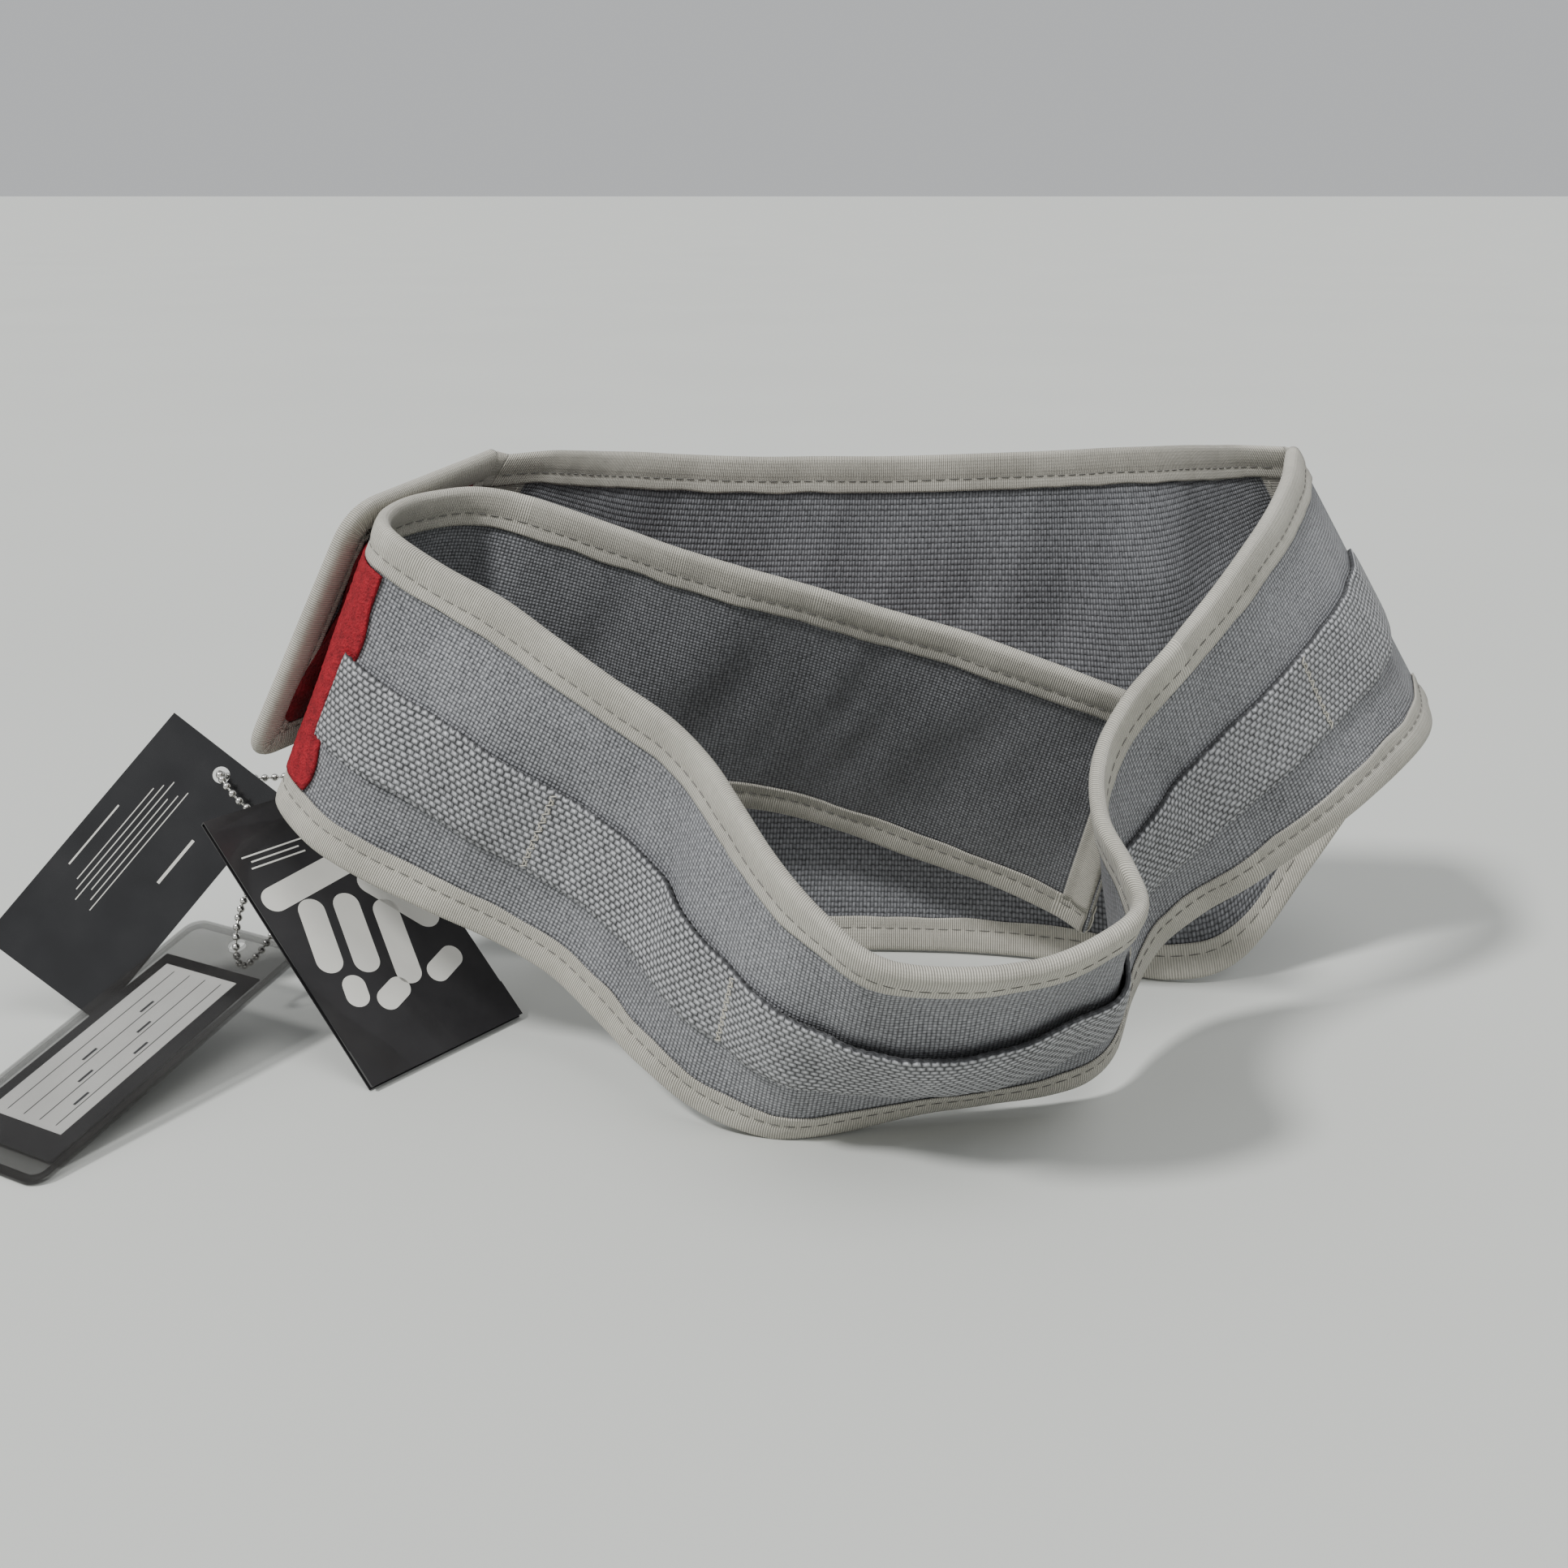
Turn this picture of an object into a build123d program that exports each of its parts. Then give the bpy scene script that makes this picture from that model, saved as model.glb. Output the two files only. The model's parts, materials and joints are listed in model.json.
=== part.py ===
"""Hook-and-loop wrap band, standing open on its lower edge, with its hang tags on a ball chain.

A shaped back panel carries a long strap at its right seam and a short closing flap at its left
seam. The strap runs forward, round the front, turns back on itself at the left and ends in a
loose tail inside the ring. The flap's hooks lie against the loops on the turn of the strap.

Millimetres, +Z up, +X to the viewer's right, +Y to the back. Every soft layer follows one of
three middle surfaces, and each surface is given by a few stations across the band. A station is
the point on its top edge and the point on its bottom edge.
"""
from build123d import *
import math
import os

# ---- driving dimensions ---------------------------------------------------------------------
CENTRE = Vector(-18.33, 4.6, 0.0)    # middle of the whole set, taken off every point

PLY = 0.5                   # nylon ply
CORE = 0.9                  # PVC stiffener between the plies
GAP = 0.05                  # air between neighbouring layers
EDGE_INSET = 1.1            # plies stop this far inside the bound edge
BINDING_WIDTH = 11.0        # grosgrain binding seen on each face
BINDING_THICKNESS = 0.7
WEBBING_WIDTH = 25.0
WEBBING_THICKNESS = 1.4
WEBBING_CENTRE = 48.0       # below the top edge
LOOP_THICKNESS = 1.2
HOOK_THICKNESS = 1.1
TAPE_INSET = 12.0           # hook and loop tapes start inside the bindings
SEAM_TAPE_THICKNESS = 0.6
BAR_TACK_LENGTH = 2.4
BAR_TACK_THICKNESS = 0.5

HALF = CORE / 2 + GAP + PLY              # half of the padded band, plies included
BIND_IN = HALF + GAP                     # inner face of a binding's leg
BIND_OUT = BIND_IN + BINDING_THICKNESS   # outer face of a binding's leg

# Stations (top edge, bottom edge). The strap runs from the right seam to the tail's end.
STRAP = [
    ((148.4, 81.4, 158.6), (194.5, 73.5, 81.8)),
    ((138, 52, 152), (186, 48, 79)),
    ((120, 17, 142), (163, 28, 67)),
    ((98, -8, 124), (134, 18, 49)),
    ((85, -19, 113), (117, 14, 40)),
    ((76, -33, 102), (103, 8, 31)),
    ((74, -49, 93), (93, -4, 21)),
    ((78, -63, 86), (87, -17, 12)),
    ((80, -72, 80), (80, -23, 8)),
    ((73, -79, 76), (70, -26, 6)),
    ((57, -85, 71), (52, -29, 5)),
    ((39, -87, 70), (34, -32, 3.5)),
    ((21, -86, 72), (15, -36, 0.6)),
    ((8, -76, 79), (-3, -38, -0.3)),
    ((-2, -61, 86), (-21, -34, 4.5)),
    ((-10, -46, 93), (-37, -25, 13)),
    ((-18, -31, 100), (-50, -14, 21)),
    ((-29, -18, 107), (-63, -4, 29)),
    ((-44, -10, 115), (-79, 1, 37)),
    ((-58, -2, 123), (-96, 2, 45)),
    ((-72, 6, 131), (-113, 4, 53)),
    ((-88, 13, 138), (-128, 10, 60)),
    ((-101, 19, 145), (-138, 19, 66)),
    ((-106, 28, 148), (-141, 28, 68)),
    ((-104, 40, 150), (-137, 40, 68)),
    ((-97, 50, 151), (-129, 50, 67)),
    ((-85, 57, 151), (-115, 57, 65)),
    ((-70, 57, 148), (-99, 60, 62)),
    ((-47, 52, 141), (-70, 64, 58)),
    ((-26, 45, 135), (-45, 67, 54)),
    ((8, 36, 127), (-8, 70, 50)),
    ((30, 32, 121), (15, 70, 44)),
    ((52, 25, 116), (36, 66, 37)),
    ((73, 17, 110), (60, 59, 31)),
    ((90, 9, 105), (81, 50, 24)),
    ((97.4, 5.3, 102.2), (89.4, 43.5, 20.3)),
    ((98, 5, 102), (90, 43, 20)),
]
TURN_STATION = 22.0         # the webbing ends here, the loop tape begins
LOOP_END_STATION = 33.0
CLOTH_END_STATION = 35     # the cloth stops just inside the tail's end binding
STRAP_TACKS = (2, 7, 14, 18)     # bar tacks that hold the webbing down
STRAP_SLACK = (0.3, 0.5, 2.6, 1.0, 0.3)    # how far the webbing stands off between them

# Stations of the back panel, from the left seam to the right seam.
BACK = [
    ((-81.8, 80, 156.7), (-128.8, 63, 78.7)),
    ((-69, 84, 157.3), (-121, 63.5, 68)),
    ((-62, 86, 157), (-111, 64, 52)),
    ((-53, 88, 156.5), (-94, 65, 29)),
    ((-43, 90, 156), (-76, 67, 6)),
    ((-30, 92, 155), (-56, 69, -0.3)),
    ((-8, 94, 154), (-26, 72, -0.3)),
    ((12, 95, 154), (2, 73, -0.3)),
    ((32, 95, 154), (30, 73, -0.3)),
    ((60, 94, 155), (60, 71, -0.3)),
    ((82, 93, 156), (90, 64, -0.3)),
    ((98, 92, 157), (118, 51, -0.3)),
    ((110, 91, 157.5), (140, 52, 7)),
    ((120, 90, 158), (160, 59, 33)),
    ((128, 88, 158.3), (177, 67, 56)),
    ((135, 87, 158.5), (187.4, 72, 71.5)),
    ((148, 84, 158.4), (194, 76, 81.4)),
]
BACK_BOW = 5.0              # the back panel's middle bows this far to the rear
BACK_TACKS = (3, 7, 11, 15)
BACK_SLACK = (3.4, 1.0, 1.0, 1.0, 0.3)   # of the webbing between its tacks, seam to seam

# The flap is flat. Its seam edge runs from SEAM_TOP along SEAM_DOWN, and its outline is drawn
# with x away from the seam and y down along it.
SEAM_TOP = (-84, 80, 158)
SEAM_BOTTOM = (-131, 63, 80)
TIP_MIDDLE = (-134, 28.5, 114.5)
FLAP_CORNERS = ((1.4, 0.6), (50, 32), (36, 110), (1.4, 92.0))
FLAP_CORNER_RADIUS = 11.0
FLAP_WEBBING_SLOPE = 30.0   # degrees; the webbing runs down towards the tip

# Tags: a low corner, the direction of each side, and the sizes.
CARD_CORNER, CARD_UP, CARD_ACROSS = (-201, 24, 0.4), (0.615, 0.366, 0.697), (-0.771, 0.104, 0.627)
CARD_SIZE = (84.0, 40.0)
CARD_THICKNESS = 0.45
LEAFLET_CORNER, LEAFLET_ACROSS, LEAFLET_UP = (-112, -16, 0.0), (0.622, 0.783, 0), (-0.578, 0.456, 0.678)
LEAFLET_SIZE = (55.0, 90.0)
LEAF_THICKNESS = 0.35
LEAF_SPREAD = 1.2           # air between the two leaves
SLEEVE_CORNER, SLEEVE_ALONG, SLEEVE_ACROSS = (-182, -64, 0.1), (0.458, 0.856, 0.24), (-0.882, 0.472, 0)
SLEEVE_SIZE = (100.0, 44.0)
VINYL = 0.35
POCKET = 0.8                # depth of the sleeve's pocket
TAG_HOLE_RADIUS = 2.5
CARD_HOLE = (78.0, 18.0)    # up and across from the low corner
LEAFLET_HOLE = (27.5, 84.0)
SLEEVE_HOLE = (94.0, 22.0)

BEAD_RADIUS = 1.15
BEAD_PITCH = 2.9
LINK_RADIUS = 0.35
CHAIN_STATION = 1.5         # where the chain goes under the back panel's webbing


# ---- small tools ----------------------------------------------------------------------------
def spline_point(points, s):
    """Point at station value s on a Catmull-Rom curve through the points."""
    i = min(int(s), len(points) - 2)
    t = s - i
    p1, p2 = points[i], points[i + 1]
    p0 = points[i - 1] if i > 0 else p1 * 2 - p2
    p3 = points[i + 2] if i + 2 < len(points) else p2 * 2 - p1
    return (p1 * 2 + (p2 - p0) * t + (p0 * 2 - p1 * 5 + p2 * 4 - p3) * t ** 2
            + (p1 * 3 - p0 - p2 * 3 + p3) * t ** 3) * 0.5


class Surface:
    """Middle surface of a band: stations across it, and places measured on it."""

    def __init__(self, stations, bow=0.0):
        self.top = [Vector(*t) - CENTRE for t, _ in stations]
        self.bottom = [Vector(*b) - CENTRE for _, b in stations]
        self.bow = bow
        self.last = len(stations) - 1.0

    def width(self, s):
        return (spline_point(self.bottom, s) - spline_point(self.top, s)).length

    def place(self, s, row, off):
        """Point row mm down from the top edge and off mm outside the middle surface."""
        top, bottom = spline_point(self.top, s), spline_point(self.bottom, s)
        down = (bottom - top).normalized()
        a, b = max(s - 0.2, 0.0), min(s + 0.2, self.last)
        along = (spline_point(self.top, b) + spline_point(self.bottom, b)
                 - spline_point(self.top, a) - spline_point(self.bottom, a))
        out = along.cross(down).normalized()
        share = row / (bottom - top).length
        return top + down * row + out * (off + 4 * self.bow * share * (1 - share))

    def corners(self, s, outline):
        """The outline's corners at s. Between two stations they lie on straight lines, so that
        every layer has its facets at the same stations and neighbours never cut each other."""
        k = min(int(s), int(self.last) - 1)
        near, far = ([self.place(n, row, off) for row, off in outline(self.width(n), n)]
                     for n in (k, k + 1))
        return [p + (q - p) * (s - k) for p, q in zip(near, far)]

    def run(self, start, end, outline):
        """Solid that follows the surface from start to end with the outline as its section."""
        values = [start] + list(range(math.floor(start) + 1, math.ceil(end))) + [end]
        faces = [Face(Wire.make_polygon(self.corners(s, outline), close=True)) for s in values]
        return loft(faces, ruled=True)


def layer(low, high, inset=EDGE_INSET, panels=1):
    """Outline of a sheet between two offsets, inset from both edges, in one or more flat panels."""
    def outline(width, s):
        edge = max(inset, BINDING_WIDTH)
        inside = [edge + (width - 2 * edge) * k / panels for k in range(panels + 1)]
        marks = inside if panels > 1 or inset >= BINDING_WIDTH else []
        if inset < BINDING_WIDTH:
            marks = [inset] + marks + [width - inset]
        return [(r, low) for r in marks] + [(r, high) for r in reversed(marks)]
    return outline


def belt(low, high, wide=WEBBING_WIDTH, slack=None):
    """Outline of a belt of fixed width, standing off by slack(s)."""
    def outline(width, s):
        a, b = WEBBING_CENTRE - wide / 2, WEBBING_CENTRE + wide / 2
        off = slack(s) if slack else 0.0
        return [(a, low + off), (b, low + off), (b, high + off), (a, high + off)]
    return outline


def slack_between(stops, heights):
    """Stand-off of a webbing that is held at the stops and arches by each height in between."""
    def slack(s):
        for a, b, height in zip(stops, stops[1:], heights):
            if a <= s <= b:
                t = (s - a) / (b - a)
                return height * 4 * t * (1 - t)
        return 0.0
    return slack


def bound_edge(at_bottom):
    """Outline of a binding folded over the top or the bottom edge."""
    legs = [(BINDING_WIDTH, BIND_IN), (BINDING_WIDTH, BIND_OUT), (1.3, BIND_OUT), (0, 0.9),
            (0, -0.9), (1.3, -BIND_OUT), (BINDING_WIDTH, -BIND_OUT), (BINDING_WIDTH, -BIND_IN),
            (0.95, -BIND_IN), (0.95, BIND_IN)]

    def outline(width, s):
        return [(width - r, -o) for r, o in legs] if at_bottom else legs
    return outline


def above_floor(solid):
    """The solid, cut flat where it would dip below the surface it stands on."""
    below = Pos(0, 0, -50) * Box(800, 800, 100)
    return solid - below


def tacks(surface, stations, low, slack):
    """Short dense bars of thread across the webbing."""
    bars = []
    for s in stations:
        span = (surface.place(s + 1, 40, 0) - surface.place(s, 40, 0)).length
        bars.append(surface.run(s, s + BAR_TACK_LENGTH / span,
                                belt(low, low + BAR_TACK_THICKNESS, wide=24, slack=slack)))
    return Compound(bars)


def flat_plane(corner, along, across, lift=0.0):
    """Plane of a flat piece: x along one side, y along the other, lifted along its normal."""
    x, y = Vector(*along).normalized(), Vector(*across).normalized()
    normal = x.cross(y).normalized()
    return Plane(origin=Vector(*corner) - CENTRE + normal * lift, x_dir=x, z_dir=normal)


def on_plane(plane, x, y, z=0.0):
    """Point of a plane from its own coordinates."""
    return plane.from_local_coords(Vector(x, y, z))


def flat_sheet(plane, low, high, thickness, radius=0.0, holes=()):
    """Rectangular sheet between two corners of the plane, with rounded corners and round holes."""
    wide, tall = high[0] - low[0], high[1] - low[1]
    shape = RectangleRounded(wide, tall, radius) if radius else Rectangle(wide, tall)
    shape = Pos((low[0] + high[0]) / 2, (low[1] + high[1]) / 2) * shape
    for x, y in holes:
        shape -= Pos(x, y) * Circle(TAG_HOLE_RADIUS)
    return extrude(plane * shape, amount=thickness)


PARTS = {}


def keep(name, shape):
    """Name a finished piece; it is written to parts/NAME.step at the end."""
    PARTS[name] = shape


# ---- strap ----------------------------------------------------------------------------------
strap = Surface(STRAP)
WEB_LOW = HALF + 0.3                    # the webbing bears on the outer ply
BAND_END = int(strap.last)


def build_strap():
    keep("strap_outer_fabric", strap.run(0, CLOTH_END_STATION, layer(CORE / 2 + GAP, HALF, panels=2)))
    keep("strap_core", strap.run(0, CLOTH_END_STATION, layer(-CORE / 2, CORE / 2, panels=2)))
    keep("strap_lining", strap.run(0, CLOTH_END_STATION, layer(-HALF, -CORE / 2 - GAP, panels=2)))
    keep("strap_top_binding", strap.run(0, BAND_END, bound_edge(False)))
    keep("strap_bottom_binding", above_floor(strap.run(0, BAND_END, bound_edge(True))))
    slack = slack_between((0,) + STRAP_TACKS + (TURN_STATION,), STRAP_SLACK)
    keep("strap_webbing", strap.run(0, TURN_STATION,
                                    belt(WEB_LOW, WEB_LOW + WEBBING_THICKNESS, slack=slack)))
    keep("strap_bar_tacks", tacks(strap, STRAP_TACKS, WEB_LOW + WEBBING_THICKNESS + GAP, slack))
    keep("strap_loop_tape", strap.run(TURN_STATION, LOOP_END_STATION,
                                      layer(BIND_IN, BIND_IN + LOOP_THICKNESS, TAPE_INSET)))
    build_tail_binding()


def build_tail_binding():
    """Binding folded round the tail's end, between the top and the bottom bindings."""
    start = CLOTH_END_STATION - 1
    outer = strap.run(start, BAND_END, layer(BIND_IN, BIND_OUT, BINDING_WIDTH + 0.1))
    inner = strap.run(start, BAND_END, layer(-BIND_OUT, -BIND_IN, BINDING_WIDTH + 0.1))
    cap = strap.run(CLOTH_END_STATION, BAND_END, layer(-BIND_OUT, BIND_OUT, BINDING_WIDTH + 0.1))
    keep("tail_end_binding", outer + cap + inner)


# ---- back panel -----------------------------------------------------------------------------
back = Surface(BACK, BACK_BOW)


def build_back():
    """Plies, stiffener, bindings, webbing and the tapes that cover the two seams."""
    last = back.last
    keep("back_outer_fabric", back.run(0, last, layer(CORE / 2 + GAP, HALF, panels=3)))
    keep("back_core", back.run(0, last, layer(-CORE / 2, CORE / 2, panels=3)))
    keep("back_lining", back.run(0, last, layer(-HALF, -CORE / 2 - GAP, panels=3)))
    keep("back_top_binding", back.run(0, last, bound_edge(False)))
    keep("back_bottom_binding", above_floor(back.run(0, last, bound_edge(True))))
    slack = slack_between((0,) + BACK_TACKS + (last,), BACK_SLACK)
    keep("back_webbing", back.run(0, last, belt(WEB_LOW, WEB_LOW + WEBBING_THICKNESS, slack=slack)))
    keep("back_bar_tacks", tacks(back, BACK_TACKS, WEB_LOW + WEBBING_THICKNESS + GAP, slack))
    tape = layer(-BIND_IN - SEAM_TAPE_THICKNESS, -BIND_IN, BINDING_WIDTH + 0.1, panels=3)
    keep("left_seam_tape", back.run(0, 1, tape))
    keep("right_seam_tape", back.run(last - 1, last, tape))


# ---- flap -----------------------------------------------------------------------------------
seam_down = (Vector(*SEAM_BOTTOM) - Vector(*SEAM_TOP)).normalized()
seam_middle = (Vector(*SEAM_TOP) + Vector(*SEAM_BOTTOM)) * 0.5
to_tip = Vector(*TIP_MIDDLE) - seam_middle
flap_away = (to_tip - seam_down * to_tip.dot(seam_down)).normalized()


def flap_sheet(low, high, inset=0.0):
    """Sheet of the flap between two offsets outside its middle, cut back by inset at its free edges."""
    plane = flat_plane(SEAM_TOP, flap_away, seam_down * -1, low)
    corners = [(x, -y) for x, y in FLAP_CORNERS]
    shape = make_face(Polyline(*corners, close=True))
    tips = shape.vertices().sort_by(Axis.X)[-2:]
    shape = fillet(tips, FLAP_CORNER_RADIUS)
    if inset:
        shape = offset(shape, -inset, kind=Kind.INTERSECTION)
    return extrude(plane * shape, amount=high - low)


def build_flap():
    """Closing flap: plies, stiffener, one binding round its free edges, hooks, webbing and tack."""
    keep("flap_outer_fabric", flap_sheet(CORE / 2 + GAP, HALF, EDGE_INSET))
    keep("flap_core", flap_sheet(-CORE / 2, CORE / 2, EDGE_INSET))
    keep("flap_lining", flap_sheet(-HALF, -CORE / 2 - GAP, EDGE_INSET))
    shell = flap_sheet(-BIND_OUT, BIND_OUT)
    filling = flap_sheet(-BIND_IN, BIND_IN, EDGE_INSET - 0.1)
    window = flap_sheet(-BIND_OUT - 1, BIND_OUT + 1, BINDING_WIDTH)
    keep("flap_binding", shell - filling - window)
    hooks = flap_sheet(-BIND_IN - HOOK_THICKNESS, -BIND_IN, TAPE_INSET)
    keep("flap_hook_tape", hooks)
    plane = flat_plane(SEAM_TOP, flap_away, seam_down * -1, BIND_OUT + GAP)
    slope = math.tan(math.radians(FLAP_WEBBING_SLOPE))
    start, end = 2.0, 33.0
    band = [(start, -WEBBING_CENTRE + 12.5), (end, -WEBBING_CENTRE + 12.5 - slope * end),
            (end, -WEBBING_CENTRE - 16.5 - slope * end), (start, -WEBBING_CENTRE - 16.5)]
    webbing = plane * make_face(Polyline(*band, close=True))
    keep("flap_webbing", extrude(webbing, amount=WEBBING_THICKNESS))
    near, far = end - 5, end - 3
    tack_line = [(near, -WEBBING_CENTRE + 11 - slope * near),
                 (near, -WEBBING_CENTRE - 15 - slope * near),
                 (far, -WEBBING_CENTRE - 15 - slope * far),
                 (far, -WEBBING_CENTRE + 11 - slope * far)]
    raised = plane.offset(WEBBING_THICKNESS + GAP)
    keep("flap_bar_tack", extrude(raised * make_face(Polyline(*tack_line, close=True)),
                                  amount=BAR_TACK_THICKNESS))


# ---- tags -----------------------------------------------------------------------------------
card_plane = flat_plane(CARD_CORNER, CARD_UP, CARD_ACROSS)
leaflet_plane = flat_plane(LEAFLET_CORNER, LEAFLET_ACROSS, LEAFLET_UP)
sleeve_plane = flat_plane(SLEEVE_CORNER, SLEEVE_ALONG, SLEEVE_ACROSS)


def build_tags():
    """A plain card, a folded leaflet and a vinyl sleeve that holds a card and its label."""
    keep("black_card", flat_sheet(card_plane, (0, 0), CARD_SIZE, CARD_THICKNESS, holes=[CARD_HOLE]))

    wide, tall = LEAFLET_SIZE
    over = LEAF_THICKNESS + LEAF_SPREAD
    front_plane = leaflet_plane.offset(over)
    fold = flat_sheet(leaflet_plane, (0, tall), (wide, tall + LEAF_THICKNESS), over + LEAF_THICKNESS)
    strip_plane = leaflet_plane.offset(over + LEAF_THICKNESS + GAP)
    hole = [LEAFLET_HOLE]
    back_leaf = flat_sheet(leaflet_plane, (0, 0.3), LEAFLET_SIZE, LEAF_THICKNESS, holes=hole)
    front_leaf = flat_sheet(front_plane, (0, 0.5), LEAFLET_SIZE, LEAF_THICKNESS, holes=hole)
    strip = flat_sheet(strip_plane, (0, 0.3), (wide, 12), LEAF_THICKNESS)
    keep("leaflet_back_leaf", above_floor(back_leaf))
    keep("leaflet_front_leaf", above_floor(front_leaf + fold))
    keep("leaflet_bottom_strip", above_floor(strip))

    length, breadth = SLEEVE_SIZE
    hole = [SLEEVE_HOLE]
    front = sleeve_plane.offset(VINYL + POCKET)
    keep("sleeve_back_sheet", flat_sheet(sleeve_plane, (0, 0), SLEEVE_SIZE, VINYL, 5, hole))
    keep("sleeve_front_sheet", flat_sheet(front, (0, 0), SLEEVE_SIZE, VINYL, 5, hole))
    inner = sleeve_plane.offset(VINYL)
    rim = flat_sheet(inner, (0, 0), SLEEVE_SIZE, POCKET, 5)
    pocket = flat_sheet(inner, (2.5, 2.5), (length - 2.5, breadth - 2.5), POCKET, 3)
    keep("sleeve_weld", rim - pocket)
    keep("sleeve_card", flat_sheet(sleeve_plane.offset(VINYL + 0.1), (8, 4), (84, 40), 0.4))
    keep("sleeve_label", flat_sheet(sleeve_plane.offset(VINYL + 0.55), (16, 9), (80, 36), 0.15))


# ---- ball chain -----------------------------------------------------------------------------
def chain_route():
    """Points the chain's line goes through: under the webbing, through the tags, and back."""
    card = on_plane(card_plane, *CARD_HOLE)
    leaflet = on_plane(leaflet_plane, *LEAFLET_HOLE)
    sleeve = on_plane(sleeve_plane, *SLEEVE_HOLE)
    card_out, leaf_out = card_plane.z_dir, leaflet_plane.z_dir
    under = HALF + BEAD_RADIUS + 0.25

    def free(x, y, z):
        return Vector(x, y, z) - CENTRE

    return [
        back.place(CHAIN_STATION, WEBBING_CENTRE - 9, under),
        back.place(CHAIN_STATION, WEBBING_CENTRE + 9, under),
        back.place(CHAIN_STATION, WEBBING_CENTRE + 24, under + 2),
        free(-126, 77, 70), free(-146, 68, 62),
        card - card_out * 3, card + card_out * 3,
        free(-158, 45, 60), leaflet - leaf_out * 4, leaflet + leaf_out * 4,
        free(-143, 52, 66.5), free(-147, 50, 52), free(-157, 38, 36),
        sleeve + Vector(0, 0, 4), sleeve - Vector(0, 0, 5),
        free(-153, 42, 20), free(-145, 58, 40), free(-128, 78, 62),
        back.place(CHAIN_STATION, WEBBING_CENTRE + 24, under + 7),
        back.place(CHAIN_STATION, WEBBING_CENTRE, under + 6.5),
        back.place(CHAIN_STATION, WEBBING_CENTRE - 16, under + 3),
    ]


def build_chain():
    """Steel beads on short links, all round a closed line, and the connector that joins its ends."""
    line = Spline(*chain_route(), periodic=True)
    count = round(line.length / BEAD_PITCH)
    centres = [line @ (k / count) for k in range(count)]
    keep("chain_beads", Compound([Pos(*c) * Sphere(BEAD_RADIUS) for c in centres]))
    links = []
    for a, b in zip(centres, centres[1:] + centres[:1]):
        axis = (b - a).normalized()
        length = (b - a).length - 2 * BEAD_RADIUS + 0.02
        links.append(Plane(origin=a + axis * (BEAD_RADIUS - 0.01), z_dir=axis)
                     * Cylinder(LINK_RADIUS, length, align=(Align.CENTER, Align.CENTER, Align.MIN)))
    keep("chain_links", Compound(links))


build_strap()
build_back()
build_flap()
build_tags()
build_chain()

os.makedirs("parts", exist_ok=True)
for name, shape in PARTS.items():
    export_step(shape, f"parts/{name}.step")
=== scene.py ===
import json
import logging
import math
from dataclasses import dataclass, field
from enum import Enum
from typing import Any, Callable, Sequence

import bmesh
import bpy
from mathutils import Matrix, Vector, noise


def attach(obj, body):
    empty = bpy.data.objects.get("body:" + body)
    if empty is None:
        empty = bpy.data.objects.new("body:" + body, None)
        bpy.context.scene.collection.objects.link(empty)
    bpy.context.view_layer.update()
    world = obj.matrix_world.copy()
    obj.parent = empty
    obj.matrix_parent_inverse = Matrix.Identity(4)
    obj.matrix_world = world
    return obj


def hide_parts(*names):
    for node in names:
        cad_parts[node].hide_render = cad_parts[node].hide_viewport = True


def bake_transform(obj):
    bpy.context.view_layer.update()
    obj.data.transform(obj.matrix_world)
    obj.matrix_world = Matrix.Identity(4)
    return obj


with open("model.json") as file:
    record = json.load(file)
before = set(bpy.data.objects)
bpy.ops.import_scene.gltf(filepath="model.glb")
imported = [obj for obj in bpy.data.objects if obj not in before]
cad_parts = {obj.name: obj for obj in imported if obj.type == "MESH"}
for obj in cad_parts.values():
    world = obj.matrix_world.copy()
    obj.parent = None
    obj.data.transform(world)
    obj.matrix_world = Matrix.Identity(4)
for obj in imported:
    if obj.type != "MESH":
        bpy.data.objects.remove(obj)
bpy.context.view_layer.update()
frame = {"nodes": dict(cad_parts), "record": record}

LOG = logging.getLogger("wrap_band")

MM = 0.001
PLY = 0.5
CORE = 0.9
GAP = 0.05
EDGE_INSET = 1.1
BINDING_WIDTH = 11.0
BINDING_THICKNESS = 0.7
HALF = CORE / 2 + GAP + PLY
BIND_IN = HALF + GAP
BIND_OUT = BIND_IN + BINDING_THICKNESS
WEBBING_CENTRE = 48.0
WEBBING_WIDTH = 25.0
WEBBING_THICKNESS = 1.4
WEB_LOW = HALF + 0.3
STITCH_ROW = 7.4
FLAP_CUT = (0.052, 0.11)
FLAP_SLOPE = math.tan(math.radians(30))

# Stations are written from a point on the shelf; the row frame starts this far from it, in mm.
CENTRE = Vector((-18.33, 4.6, 0.0))

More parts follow.
